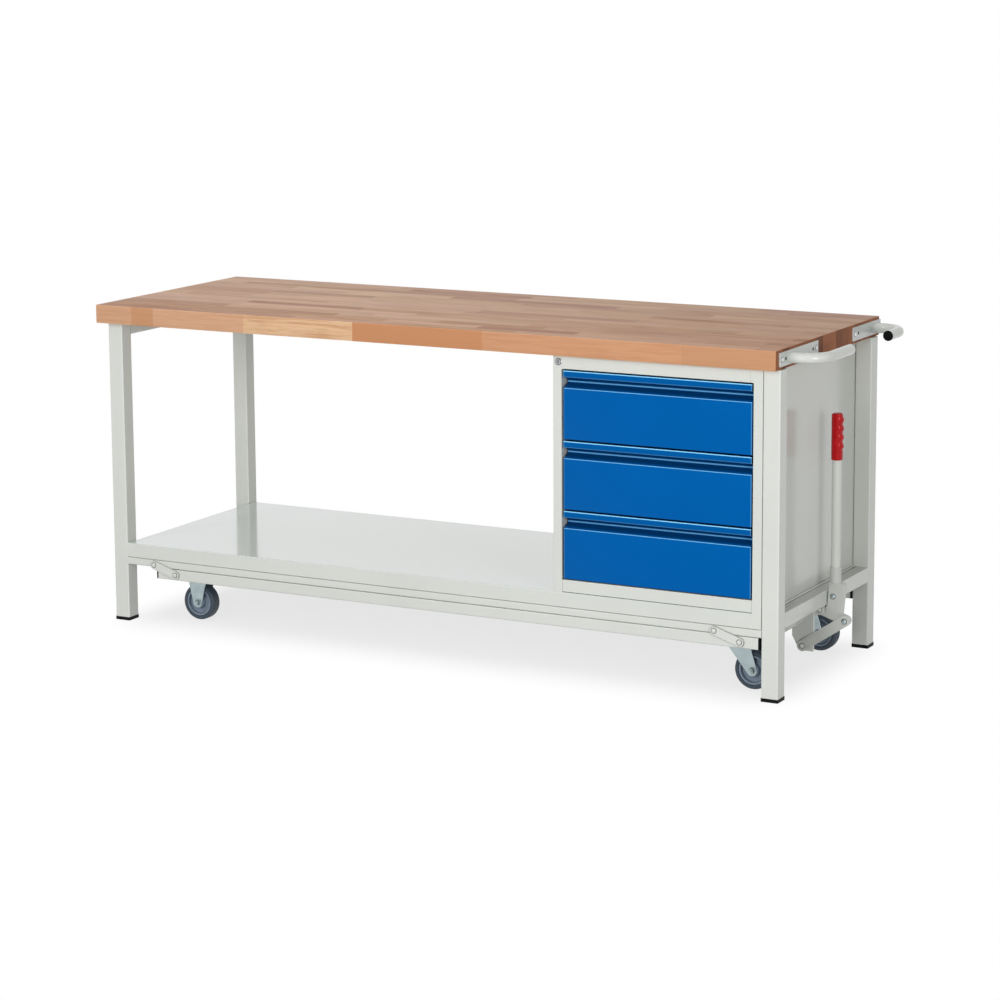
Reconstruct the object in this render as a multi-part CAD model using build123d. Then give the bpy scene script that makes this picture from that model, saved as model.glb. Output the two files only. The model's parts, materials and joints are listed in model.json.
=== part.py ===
from build123d import *
from math import asin, cos, degrees, radians, sin, sqrt
import os

# Mobile workbench with a drawer cabinet, a shelf, push handles and a hand-operated
# lowering gear that puts the bench on its casters. Millimetres, +X to the handles,
# -Y to the user, +Z up. Origin on the floor, in the middle of the overall outline.

# ------------------------------------------------------------------ worktop
top_length = 2000.0
top_depth = 700.0
top_thickness = 50.0
top_height = 880.0
top_arris = 2.5

# ------------------------------------------------------------------ stand
leg_size = 45.0
leg_wall = 2.0
leg_corner = 4.0
leg_inset_left = 25.0
leg_stand_out_right = 5.0
leg_inset_front = 20.0
foot_height = 9.0
foot_lip = 1.0
foot_plug_depth = 18.0
foot_plug_clearance = 0.2
rail_width = 40.0
rail_wall = 2.0
rail_corner = 3.5
upper_rail_height = 35.0
lower_rail_height = 20.0
lower_rail_underside = 160.0
cross_rail_height = 40.0

# ------------------------------------------------------------------ sheet metal
sheet = 1.5
sheet_bend = 2.0
pan_rear_inset = 20.0
pan_gap = 2.0
pan_return = 14.0

# ------------------------------------------------------------------ cabinet
cabinet_width = 572.0
cabinet_depth = 613.0
cabinet_leg_gap = 1.0
stile_width = 24.0
stile_tab = 5.0
stile_return = 38.0
strip_return = 15.0
head_height = 35.0
base_height = 33.0
rear_flange = 15.0
panel_gap = 0.6

# ------------------------------------------------------------------ drawers
drawer_count = 3
front_gap = 4.0
front_side_gap = 4.5
front_bottom_gap = 2.0
front_recess = 1.0
front_return = 12.0
front_side_return = 6.0
grip_drop = 44.0
grip_depth = 26.0
grip_lip = 16.5
grip_throat = 23.0
grip_shelf = 34.0
tray_length = 560.0
tray_side_gap = 13.0
tray_floor_gap = 8.0
tray_top_gap = 7.0
tray_rim = 6.0
slide_height = 29.0
slide_gap = 0.4
slide_lift = 40.0
slide_depth = 11.5
runner_length = 560.0
runner_setback = 40.0
runner_overlap = 8.5

# ------------------------------------------------------------------ lock
lock_diameter = 20.0
lock_bore = 14.0
lock_barrel = 18.0
lock_inset = 16.0
lock_drop = 17.0
lock_proud = 2.5
lock_length = 26.0
lock_clearance = 0.05
cam_length = 13.0
cam_width = 10.0
cam_thickness = 2.5

# ------------------------------------------------------------------ push handles
handle_reach = 100.0
handle_tube = 26.9
handle_wall = 2.3
handle_bend = 60.0
handle_drop = 26.0
plate_thickness = 4.0
plate_height = 35.0
plate_drop = 7.0
plate_corner = 2.0
front_plate_start = 20.0
front_plate_length = 245.0
front_handle_root = 84.0
front_handle_end = 272.0
rear_plate_start = 505.0
rear_plate_length = 194.0
rear_handle_root = 660.0
rear_handle_end = 535.0
screw_diameter = 6.0
screw_head = 13.0
screw_head_height = 3.0
screw_length = 30.0
screw_end = 12.0
screw_pitch = 23.0
spare_hole = 7.0
plug_flange = 3.0
plug_depth = 14.0
plug_clearance = 0.15

# ------------------------------------------------------------------ pivots
pin_diameter = 10.0
pin_clearance = 0.08
pin_head = 18.0
pin_head_height = 3.5
pin_collar = 16.0
pin_collar_height = 3.5
side_gap = 0.5

# ------------------------------------------------------------------ carriage
link_length = 72.0
link_thickness = 5.0
link_width = 24.0
link_from_leg_left = 90.0
link_from_leg_right = 125.0
upper_pivot_rise = 7.0
lower_pivot_drop = 14.25
carriage_gap = 1.0
carriage_rail_height = 30.0
carriage_start = 10.5
carriage_gap_right = 8.0
end_plug = 4.5
cross_width = 50.0
left_caster_inset = 168.0
right_caster_inset = 98.0
bracket_width = 40.0
bracket_inset = 63.0
bracket_plate = 8.0
bracket_tongue = 25.0
bracket_over = 5.0
bracket_below = 14.0
bracket_nose = 15.0
bracket_throat = 38.0
bracket_web = 7.0

# ------------------------------------------------------------------ lever gear
ear_thickness = 6.0
ear_radius = 13.0
crank_pivot_inset = 19.25
crank_pivot_drop = 13.4
crank_thickness = 12.0
crank_boss_radius = 12.5
crank_arm_radius = 13.0
channel_wall = 4.0
channel_bolt_x = 35.25
channel_bolt_z = 38.4
push_link_run = 114.25
push_link_fall = 76.4
push_link_width = 28.0
push_link_thickness = 8.0
socket_diameter = 29.0
socket_height = 40.0
socket_clearance = 0.1
lever_diameter = 24.0
lever_wall = 2.5
lever_offset = 38.25
lever_top = 678.0
grip_diameter = 30.0
grip_length = 120.0
grip_swell = 2.6
grip_pitch = 26.0
grip_cap = 5.0

# ------------------------------------------------------------------ casters
wheel_diameter = 100.0
wheel_width = 34.0
tread_thickness = 12.0
tread_round = 5.0
core_width = 31.0
hub_radius = 17.0
hub_width = 37.0
core_gap = 0.1
web_thickness = 9.0
axle_diameter = 12.0
axle_clearance = 0.08
axle_head = 18.0
axle_head_height = 4.0
floor_gap = 0.4
caster_inset = 130.0
caster_plate_length = 100.0
caster_plate_width = 85.0
caster_plate_thickness = 3.0
caster_plate_corner = 8.0
fork_sheet = 3.0
fork_gap = 1.0
fork_top_width = 62.0
fork_foot_radius = 14.0
caster_trail = 36.0
race_diameter = 62.0
race_height = 12.5
crown_diameter = 60.0
crown_thickness = 4.0
kingpin_diameter = 12.0
kingpin_nut = 20.0
kingpin_nut_height = 4.0

# ------------------------------------------------------------------ datums
x_left = -(top_length + handle_reach) / 2
x_right = x_left + top_length
y_front = -top_depth / 2
y_rear = top_depth / 2
top_underside = top_height - top_thickness

leg_left = x_left + leg_inset_left
leg_left_inner = leg_left + leg_size
leg_right = x_right + leg_stand_out_right
leg_right_inner = leg_right - leg_size
rail_front = y_front + leg_inset_front
leg_front_inner = rail_front + leg_size
lower_rail_top = lower_rail_underside + lower_rail_height
shelf_top = lower_rail_top + cross_rail_height

cabinet_right = leg_right_inner - cabinet_leg_gap
cabinet_left = cabinet_right - cabinet_width
cabinet_rear = rail_front + cabinet_depth
opening_left = cabinet_left + stile_width
opening_right = cabinet_right - stile_width
opening_bottom = shelf_top + base_height
opening_top = top_underside - head_height
front_left = opening_left + front_side_gap
front_right = opening_right - front_side_gap
front_space = opening_top - opening_bottom - front_bottom_gap - drawer_count * front_gap
front_height = front_space / drawer_count
tray_left = opening_left + tray_side_gap
tray_right = opening_right - tray_side_gap
tray_height = front_height - grip_drop - tray_top_gap - tray_floor_gap
front_face = rail_front + front_recess
tray_front = front_face + sheet
tray_rear = tray_front + tray_length

upper_pivot_z = lower_rail_underside + upper_pivot_rise
carriage_top = lower_rail_underside - carriage_gap
carriage_underside = carriage_top - carriage_rail_height
lower_pivot_z = carriage_top - lower_pivot_drop
link_fall = upper_pivot_z - lower_pivot_z
link_run = sqrt(link_length**2 - link_fall**2)
upper_pivot_left = leg_left_inner + link_from_leg_left
upper_pivot_right = leg_right_inner - link_from_leg_right
lower_pivot_left = upper_pivot_left + link_run
lower_pivot_right = upper_pivot_right + link_run
link_face = rail_front - side_gap
pin_face = link_face - link_thickness - side_gap
carriage_left = upper_pivot_left + carriage_start
carriage_right = leg_right_inner - carriage_gap_right
rail_inner = rail_front + rail_width

pivot_b = (leg_right - crank_pivot_inset, lower_rail_top - crank_pivot_drop)
pivot_c = (pivot_b[0] + link_run, pivot_b[1] - link_fall)
pivot_d = (pivot_c[0] - push_link_run, pivot_c[1] - push_link_fall)
bolt_a = (pivot_b[0] + channel_bolt_x, pivot_b[1] + channel_bolt_z)
lever_axis = pivot_b[0] + lever_offset
socket_bottom = pivot_b[1] + 74.4
crank_front = -crank_thickness / 2
channel_front = crank_front - channel_wall
ear_front = crank_front - side_gap - ear_thickness
push_link_front = crank_front - side_gap - push_link_thickness

axle_z = wheel_diameter / 2 + floor_gap
left_caster_x = leg_left_inner + left_caster_inset
right_caster_x = leg_right_inner - right_caster_inset
wheel_y = y_front + caster_inset


# ------------------------------------------------------------------ shapes
def hollow(width, height, wall, corner):
    """Section of a rectangular tube: round outside corners, square bore."""
    return RectangleRounded(width, height, corner) - Rectangle(width - 2 * wall, height - 2 * wall)


def tube_along_x(x0, x1, y, z, depth, height):
    """Rail of rectangular tube from x0 to x1, its middle at y and z."""
    place = Plane(origin=(x0, y, z), x_dir=(0, 1, 0), z_dir=(1, 0, 0))
    return extrude(place * hollow(depth, height, rail_wall, rail_corner), x1 - x0)


def tube_along_y(y0, y1, x, z, width, height):
    """Rail of rectangular tube from y0 to y1, its middle at x and z."""
    place = Plane(origin=(x, y0, z), x_dir=(1, 0, 0), z_dir=(0, 1, 0))
    return extrude(place * hollow(width, height, rail_wall, rail_corner), y1 - y0)


def block(x0, x1, y0, y1, z0, z1):
    """Plain block between six faces."""
    middle = Pos((x0 + x1) / 2, (y0 + y1) / 2, (z0 + z1) / 2)
    return middle * Box(x1 - x0, y1 - y0, z1 - z0)


def side_plate(outline, y0, y1):
    """Flat plate cut to an outline drawn in X and Z, between y0 and y1."""
    return extrude(Plane.XZ.offset(-y1) * outline, y1 - y0)


def folded(points, bend, turn=Side.LEFT):
    """Section of a folded sheet whose outer face runs through the points."""
    line = FilletPolyline(*points, radius=bend)
    return make_face(offset(line, amount=sheet, side=turn, closed=True).edges())


def disc(x, z, radius, y0, y1):
    """Round bar along Y."""
    return side_plate(Pos(x, z) * Circle(radius), y0, y1)


def mirrored(part):
    """The same piece on the other long side of the bench."""
    return mirror(part, about=Plane.XZ)


def turned_head(radius, height):
    """Half outline of a low head: flat crown and one sloping side."""
    return Polyline((0, -height), (0.6 * radius, -height), (radius, -0.2 * height), (radius, 0))


def pivot_pin(x, z, y0, y1, collar=pin_collar_height):
    """Pivot pin along Y: head in front of y0, collar behind y1."""
    tail = y1 - y0
    points = [(0, -pin_head_height), (pin_head / 2, 0), (pin_diameter / 2, 0), (pin_diameter / 2, tail)]
    if collar:
        points += [(pin_collar / 2, tail), (pin_collar / 2, tail + collar)]
    points.append((0, tail + collar))
    outline = turned_head(pin_head / 2, pin_head_height).edges()
    outline += Polyline(*points[1:], points[0]).edges()
    return Pos(x, y0, z) * revolve(make_face(outline), axis=Axis.Y)


# ------------------------------------------------------------------ worktop and stand
def screw_places():
    """Y of the screws and of the plain holes in both handle plates."""
    near = y_front + front_plate_start + screw_end
    far = y_front + front_plate_start + front_plate_length - screw_end
    back = y_front + rear_plate_start + screw_end
    outer = y_front + rear_plate_start + rear_plate_length - screw_end
    screws = [near, far, back, outer]
    plain = [near + screw_pitch, far - screw_pitch, back + screw_pitch]
    return screws, plain


def plate_middle():
    return top_height - plate_drop - plate_height / 2


def worktop():
    slab = block(x_left, x_right, y_front, y_rear, top_underside, top_height)
    slab = chamfer(slab.edges(), top_arris)
    z = plate_middle()
    for y in screw_places()[0]:
        slab -= Pos(x_right, y, z) * Rot(0, 90, 0) * Cylinder(
            screw_diameter / 2 + pin_clearance, 2 * screw_length + 2)
    return slab


def leg(x, y):
    place = Plane(origin=(x, y, foot_height))
    section = hollow(leg_size, leg_size, leg_wall, leg_corner)
    return extrude(place * section, top_underside - foot_height)


def foot(x, y):
    """Plastic foot: a cap under the tube and a plug inside it."""
    cap_size = leg_size + 2 * foot_lip
    plug_size = leg_size - 2 * leg_wall - 2 * foot_plug_clearance
    cap = extrude(RectangleRounded(cap_size, cap_size, leg_corner), foot_height)
    plug = Pos(0, 0, foot_height) * extrude(Rectangle(plug_size, plug_size), foot_plug_depth)
    return Pos(x, y, 0) * (cap + plug)


def lower_rail():
    """Front lower rail with the two pivot holes of the lowering gear."""
    z = lower_rail_underside + lower_rail_height / 2
    rail = tube_along_x(
        leg_left_inner, leg_right_inner, rail_front + rail_width / 2, z, rail_width, lower_rail_height)
    for x in (upper_pivot_left, upper_pivot_right):
        rail -= disc(x, upper_pivot_z, pin_diameter / 2 + pin_clearance,
                     rail_front - 1, rail_inner + 1)
    return rail


def shelf_pan():
    """Folded shelf on the lower rails, with both ends turned down."""
    x0 = leg_left_inner + pan_gap
    x1 = leg_right_inner - pan_gap / 2
    y0 = rail_front
    y1 = -rail_front - pan_rear_inset
    points = [
        (y0 + pan_return, lower_rail_top),
        (y0, lower_rail_top),
        (y0, shelf_top),
        (y1, shelf_top),
        (y1, lower_rail_top),
        (y1 - pan_return, lower_rail_top),
    ]
    pan = extrude(Plane.YZ.offset(x0) * folded(points, sheet_bend, Side.RIGHT), x1 - x0)
    z0 = lower_rail_top + sheet
    pan += block(x0, x0 + sheet, y0 + sheet, y1 - sheet, z0, shelf_top - sheet)
    pan += block(x1 - sheet, x1, y0 + sheet, y1 - sheet, z0, shelf_top - sheet)
    return pan


# ------------------------------------------------------------------ cabinet
def cabinet_side():
    """Left side: wall, stile with its return beside the drawers, rear flange."""
    x0 = cabinet_left
    points = [
        (x0 + rear_flange, cabinet_rear),
        (x0, cabinet_rear),
        (x0, rail_front),
        (opening_left + stile_tab, rail_front),
    ]
    wall = extrude(
        Plane.XY.offset(shelf_top) * folded(points, sheet_bend, Side.LEFT),
        top_underside - shelf_top)
    wall -= block(opening_left, opening_left + 2 * stile_tab, rail_front - 1, rail_front + sheet + 1,
                  opening_bottom, opening_top)
    wall += block(opening_left - sheet, opening_left, rail_front, rail_front + stile_return,
                  opening_bottom, opening_top)
    return wall


def lock_hole():
    return disc(cabinet_left + lock_inset, top_underside - lock_drop,
                lock_barrel / 2 + pin_clearance, rail_front - 1, rail_front + sheet + 1)


def cabinet_head():
    """Strip over the drawers, folded on into the cabinet's roof."""
    x0 = opening_left + stile_tab
    x1 = opening_right - stile_tab
    y0 = rail_front
    y1 = cabinet_rear - 2 * sheet
    inner = rail_front + strip_return + sheet
    points = [
        (y0 + strip_return, opening_top),
        (y0, opening_top),
        (y0, top_underside),
        (y1, top_underside),
    ]
    strip = extrude(Plane.YZ.offset(x0) * folded(points, sheet_bend, Side.RIGHT), x1 - x0)
    roof = block(cabinet_left + sheet, cabinet_right - sheet, inner, y1,
                 top_underside - sheet, top_underside)
    return strip + roof


def cabinet_base():
    """Strip under the drawers, folded on into the cabinet's floor."""
    x0 = opening_left + stile_tab
    x1 = opening_right - stile_tab
    y0 = rail_front
    y1 = cabinet_rear - 2 * sheet
    inner = rail_front + strip_return + sheet
    points = [
        (y0 + strip_return, opening_bottom),
        (y0, opening_bottom),
        (y0, shelf_top),
        (y1, shelf_top),
    ]
    strip = extrude(Plane.YZ.offset(x0) * folded(points, sheet_bend, Side.LEFT), x1 - x0)
    floor = block(cabinet_left + sheet, cabinet_right - sheet, inner, y1,
                  shelf_top, shelf_top + sheet)
    return strip + floor


def cabinet_back():
    inset = sheet + panel_gap
    return block(cabinet_left + inset, cabinet_right - inset,
                 cabinet_rear - 2 * sheet, cabinet_rear - sheet, shelf_top, top_underside)


# ------------------------------------------------------------------ drawers
def front_bottom(index):
    """Height of the lower edge of a drawer front, counted from the top."""
    top = opening_top - front_gap - index * (front_height + front_gap)
    return top - front_height


def slide_bottom(index):
    return front_bottom(index) + tray_floor_gap + slide_lift


def drawer_front(index):
    """Front folded from one sheet, with a grip channel along its upper edge."""
    y = front_face
    z0 = front_bottom(index)
    z1 = z0 + front_height
    points = [
        (y + front_return, z1),
        (y, z1),
        (y, z1 - grip_lip),
        (y + grip_depth - 3, z1 - grip_throat),
        (y + grip_depth, z1 - grip_shelf),
        (y, z1 - grip_drop),
        (y, z0),
        (y + front_return, z0),
    ]
    section = folded(points, sheet_bend, Side.LEFT)
    front = extrude(Plane.YZ.offset(front_left) * section, front_right - front_left)
    for x in (front_left, front_right - sheet):
        front += block(x, x + sheet, y + sheet / 2, y + front_side_return, z0 + sheet / 2, z1 - grip_drop - 1)
    return front


def drawer_tray(index):
    """Open tray with a rolled rim and a slide on each side."""
    z0 = front_bottom(index) + tray_floor_gap
    z1 = z0 + tray_height
    shell = block(tray_left, tray_right, tray_front, tray_rear, z0, z1)
    shell -= block(tray_left + sheet, tray_right - sheet, tray_front + sheet, tray_rear - sheet,
                   z0 + sheet, z1 + 1)
    rim = block(tray_left, tray_left + tray_rim, tray_front + sheet, tray_rear - sheet, z1 - sheet, z1)
    low = slide_bottom(index)
    slide = block(tray_left - slide_depth, tray_left, tray_front + 6, tray_rear, low, low + slide_height)
    slide -= block(tray_left - slide_depth - 1, tray_left - sheet, tray_front + 5, tray_rear + 1,
                   low + 2 * sheet, low + slide_height - 2 * sheet)
    half = rim + slide
    middle = (tray_left + tray_right) / 2
    other = mirror(half, about=Plane.YZ.offset(middle))
    return shell + half + other


def runner(index):
    """Runner on the cabinet wall: a channel that holds the drawer's slide."""
    low = slide_bottom(index) - slide_gap
    high = slide_bottom(index) + slide_height + slide_gap
    x0 = cabinet_left + sheet
    x1 = tray_left - slide_depth + runner_overlap
    y0 = rail_front + runner_setback
    body = block(x0, x1, y0, y0 + runner_length, low - sheet, high + sheet)
    body -= block(x0 + sheet, x1 + 1, y0 - 1, y0 + runner_length + 1, low, high)
    return body


def lock_housing():
    """Lock barrel in the stile, with a flange on the outside."""
    x = cabinet_left + lock_inset
    z = top_underside - lock_drop
    body = disc(x, z, lock_diameter / 2, rail_front - lock_proud, rail_front)
    body += disc(x, z, lock_barrel / 2, rail_front, rail_front + lock_length)
    body = chamfer(body.faces().sort_by(Axis.Y)[0].edges(), 1.0)
    return body - disc(x, z, lock_bore / 2 + lock_clearance, rail_front - lock_proud - 1,
                       rail_front + lock_length + 1)


def lock_cylinder():
    """Turning part of the lock, with the key slot and the cam behind it."""
    x = cabinet_left + lock_inset
    z = top_underside - lock_drop
    y0 = rail_front - lock_proud + 0.3
    y1 = rail_front + lock_length + 0.5
    plug = disc(x, z, lock_bore / 2, y0, y1)
    plug -= Pos(x, y0, z) * Box(1.6, 12.0, 7.0)
    arm = Pos(x, z - cam_length / 2) * SlotOverall(cam_length + cam_width, cam_width, rotation=90)
    return plug + side_plate(arm, y1, y1 + cam_thickness)


# ------------------------------------------------------------------ push handles
def push_handle(plate_start, plate_length, root, end):
    """Handle of bent tube welded to a plate on the worktop's end grain."""
    turn = 1 if end > root else -1
    z = top_height - handle_drop
    reach = x_right + handle_reach - handle_tube / 2
    start = x_right + plate_thickness
    y0 = y_front + root
    y1 = y_front + end
    path = FilletPolyline((start, y0, z), (reach, y0, z), (reach, y1, z), radius=handle_bend)
    opening = Plane(origin=(start, y0, z), z_dir=(1, 0, 0))
    ring = Circle(handle_tube / 2) - Circle(handle_tube / 2 - handle_wall)
    bar = sweep(opening * ring, path=path)
    a = y_front + plate_start
    middle = Plane(origin=(x_right, a + plate_length / 2, plate_middle()),
                   x_dir=(0, 1, 0), z_dir=(1, 0, 0))
    plate = extrude(middle * RectangleRounded(plate_length, plate_height, plate_corner),
                    plate_thickness)
    screws, plain = screw_places()
    for y, size in [(y, screw_diameter) for y in screws] + [(y, spare_hole) for y in plain]:
        if a < y < a + plate_length:
            hole = Cylinder(size / 2 + pin_clearance, 4 * plate_thickness)
            plate -= Pos(x_right, y, plate_middle()) * Rot(0, 90, 0) * hole
    return plate + bar


def handle_plug(end, turn):
    """Black plug in the free end of a handle tube."""
    bore = handle_tube / 2 - handle_wall - plug_clearance
    cap = Cylinder(handle_tube / 2, plug_flange, align=(Align.CENTER, Align.CENTER, Align.MIN))
    cap = chamfer(cap.faces().sort_by(Axis.Z)[-1].edges(), plug_flange / 2)
    stem = Cylinder(bore, plug_depth, align=(Align.CENTER, Align.CENTER, Align.MAX))
    place = Plane(origin=(x_right + handle_reach - handle_tube / 2, y_front + end,
                          top_height - handle_drop), z_dir=(0, turn, 0))
    return place * (cap + stem)


def handle_screw(y):
    crown = turned_head(screw_head / 2, screw_head_height)
    run = Polyline(
        (screw_head / 2, 0),
        (screw_diameter / 2, 0),
        (screw_diameter / 2, screw_length),
        (0, screw_length),
        (0, -screw_head_height),
    )
    body = revolve(make_face(crown.edges() + run.edges()), axis=Axis.Y)
    return Pos(x_right + plate_thickness, y, plate_middle()) * Rot(0, 0, 90) * body


# ------------------------------------------------------------------ carriage
def carriage_rail():
    """Front tube of the carriage with the two lower pivot holes."""
    z = (carriage_top + carriage_underside) / 2
    rail = tube_along_x(carriage_left, carriage_right, rail_front + rail_width / 2, z,
                        rail_width, carriage_rail_height)
    for x in (lower_pivot_left, lower_pivot_right):
        rail -= disc(x, lower_pivot_z, pin_diameter / 2 + pin_clearance,
                     rail_front - 1, rail_inner + 1)
    return rail


def carriage_plug(x, turn):
    """End plug of a carriage tube: a cap outside and a stem inside."""
    cap = RectangleRounded(rail_width, carriage_rail_height, rail_corner)
    inner_width = rail_width - 2 * rail_wall - 2 * plug_clearance
    inner_height = carriage_rail_height - 2 * rail_wall - 2 * plug_clearance
    stem = Rectangle(inner_width, inner_height)
    middle = (x, rail_front + rail_width / 2, (carriage_top + carriage_underside) / 2)
    out = Plane(origin=middle, x_dir=(0, 1, 0), z_dir=(turn, 0, 0))
    back = Plane(origin=middle, x_dir=(0, 1, 0), z_dir=(-turn, 0, 0))
    return extrude(out * cap, end_plug) + extrude(back * stem, plug_depth)


def carriage_cross(x):
    z = (carriage_top + carriage_underside) / 2
    return tube_along_y(rail_inner, -rail_inner, x, z, cross_width, carriage_rail_height)


def push_bracket():
    """End member of the carriage with the upright plate that the lever pulls."""
    x1 = leg_right_inner - bracket_inset + bracket_width + bracket_over
    x0 = x1 - bracket_width
    z = (carriage_top + carriage_underside) / 2
    member = tube_along_y(rail_inner, -rail_inner, (x0 + x1) / 2, z, bracket_width,
                          carriage_rail_height)
    right = x1 + bracket_tongue
    low = pivot_d[1] - bracket_below
    outline = Polyline(
        (x1, carriage_top),
        (right, carriage_top),
        (right, low),
        (pivot_d[0] - 0.3 * bracket_nose, low),
        (pivot_d[0] - bracket_nose, low + 0.6 * bracket_below),
        (x0 + bracket_web, low + bracket_throat),
        (x0 + bracket_web, carriage_underside),
        (x1, carriage_underside),
        (x1, carriage_top),
    )
    face = make_face(outline.edges())
    face -= Pos(pivot_d[0], pivot_d[1]) * Circle(pin_diameter / 2 + pin_clearance)
    return member + side_plate(face, crank_front, crank_front + bracket_plate)


def link(x):
    """Flat bar that carries one corner of the carriage."""
    angle = -degrees(asin(link_fall / link_length))
    middle = Pos(x + link_run / 2, (upper_pivot_z + lower_pivot_z) / 2)
    bar = middle * SlotCenterToCenter(link_length, link_width, rotation=angle)
    hole = Circle(pin_diameter / 2 + pin_clearance)
    bar -= Pos(x, upper_pivot_z) * hole
    bar -= Pos(x + link_run, lower_pivot_z) * hole
    return side_plate(bar, link_face - link_thickness, link_face)


# ------------------------------------------------------------------ lever gear
def lever_ears():
    """Two ears under the end rail that carry the crank."""
    x, z = pivot_b
    ear = Pos(x, z) * Circle(ear_radius)
    ear += Pos(x, (z + lower_rail_top) / 2) * Rectangle(2 * ear_radius, lower_rail_top - z)
    ear -= Pos(x, z) * Circle(pin_diameter / 2 + pin_clearance)
    front = side_plate(ear, ear_front, ear_front + ear_thickness)
    return front + mirrored(front)


def lever_base():
    """Crank plate in a folded channel, with the socket of the lever on top."""
    x, z = pivot_b
    hole = Circle(pin_diameter / 2 + pin_clearance)
    web_side = [(x + 66.0, z + 70.0), (x + 58.5, z - 8.0)]
    near_side = [(x + 19.5, z + 1.5), (x + 16.5, z + 9.5), (x + 21.0, z + 15.0),
                 (x + 22.0, z + 33.5), (x + 26.0, z + 74.4)]
    channel_line = FilletPolyline(
        (x + 54.0, z + 74.4), web_side[0], web_side[1], *near_side, radius=2.0, close=True)
    channel = make_face(channel_line.edges())
    inside = Pos(-channel_wall, 0) * channel
    body = side_plate(channel, channel_front, -channel_front)
    body -= side_plate(inside & Pos(0, 1) * channel, crank_front, -crank_front)
    arms = [Pos(*pivot_b) * Circle(crank_boss_radius), Pos(*pivot_c) * Circle(crank_arm_radius)]
    plate = make_hull(arms[0].edges() + arms[1].edges())
    upright = make_face(Polyline(
        (x + 24.0, z + 8.0),
        (x + 23.0, z + 33.5),
        (x + 26.5, z + 68.0),
        (x + 56.0, z + 66.0),
        (x + 55.0, z - 10.0),
        (x + 24.0, z + 8.0)).edges())
    crank = side_plate(plate + upright, crank_front, -crank_front)
    body += crank
    socket = Circle(socket_diameter / 2) - Circle(lever_diameter / 2 + socket_clearance)
    body += extrude(Plane(origin=(lever_axis, 0, socket_bottom)) * socket, socket_height)
    for centre in (pivot_b, pivot_c, bolt_a):
        body -= side_plate(Pos(*centre) * hole, channel_front - 1, 1 - channel_front)
    return body


def push_link():
    """Bar from the crank to the carriage."""
    angle = degrees(asin(push_link_fall / sqrt(push_link_run**2 + push_link_fall**2)))
    reach = sqrt(push_link_run**2 + push_link_fall**2)
    middle = Pos((pivot_c[0] + pivot_d[0]) / 2, (pivot_c[1] + pivot_d[1]) / 2)
    bar = middle * SlotCenterToCenter(reach, push_link_width, rotation=angle)
    for centre in (pivot_c, pivot_d):
        bar -= Pos(*centre) * Circle(pin_diameter / 2 + pin_clearance)
    return side_plate(bar, push_link_front, push_link_front + push_link_thickness)


def lever_tube():
    ring = Circle(lever_diameter / 2) - Circle(lever_diameter / 2 - lever_wall)
    place = Plane(origin=(lever_axis, 0, socket_bottom))
    return extrude(place * ring, lever_top - grip_cap - socket_bottom)


def lever_grip():
    """Moulded grip, with swells for the fingers on its outer side."""
    low = lever_top - grip_length
    radius = grip_diameter / 2
    waist = radius - 2 * grip_swell
    start = grip_length - grip_cap - 3 * grip_pitch
    outline = [(0, start)]
    for finger in range(3):
        base = start + finger * grip_pitch
        outline.append((waist, base))
        outline.append((radius, base + 0.35 * grip_pitch))
        outline.append((radius, base + 0.65 * grip_pitch))
    outline.append((waist, start + 3 * grip_pitch))
    outline.append((0, start + 3 * grip_pitch))
    outline.append((0, start))
    fingers = revolve(Plane.XZ * make_face(Polyline(*outline).edges()), axis=Axis.Z)
    body = Cylinder(radius, grip_length, align=(Align.CENTER, Align.CENTER, Align.MIN))
    body = chamfer(body.faces().sort_by(Axis.Z)[-1].edges(), grip_cap / 2)
    body += Pos(grip_swell, 0, 0) * fingers
    bore = Cylinder(lever_diameter / 2 + socket_clearance, grip_length - grip_cap + 0.1,
                    align=(Align.CENTER, Align.CENTER, Align.MIN))
    return Pos(lever_axis, 0, low) * (body - bore)


# ------------------------------------------------------------------ casters
def caster_plate(x):
    place = Plane(origin=(x, wheel_y, carriage_underside - caster_plate_thickness))
    return extrude(place * RectangleRounded(caster_plate_length, caster_plate_width,
                                            caster_plate_corner), caster_plate_thickness)


def fork_cheeks(x, top, axle_x):
    """Both cheeks of a fork, from its crown down to the axle."""
    half = hub_width / 2 + fork_gap
    crown = Pos(x, top - 1.0) * Rectangle(fork_top_width, 2.0)
    foot_end = Pos(axle_x, axle_z) * Circle(fork_foot_radius)
    outline = make_hull(crown.edges() + foot_end.edges())
    cheek = side_plate(outline, wheel_y - half - fork_sheet, wheel_y - half)
    return cheek + mirror(cheek, about=Plane.XZ.offset(-wheel_y))


def fork_axle(axle_x):
    half = hub_width / 2 + fork_gap + fork_sheet
    axle = disc(axle_x, axle_z, axle_diameter / 2, wheel_y - half, wheel_y + half)
    for side in (-1, 1):
        near = wheel_y + side * half
        far = wheel_y + side * (half + axle_head_height)
        axle += disc(axle_x, axle_z, axle_head / 2, min(near, far), max(near, far))
    return axle


def fixed_fork():
    """Fork of a fixed caster, riveted to its plate."""
    top = carriage_underside - caster_plate_thickness
    half = hub_width / 2 + fork_gap + fork_sheet
    body = caster_plate(left_caster_x)
    body += block(left_caster_x - fork_top_width / 2, left_caster_x + fork_top_width / 2,
                  wheel_y - half, wheel_y + half, top - fork_sheet, top)
    body += fork_cheeks(left_caster_x, top, left_caster_x)
    return body + fork_axle(left_caster_x)


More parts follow.
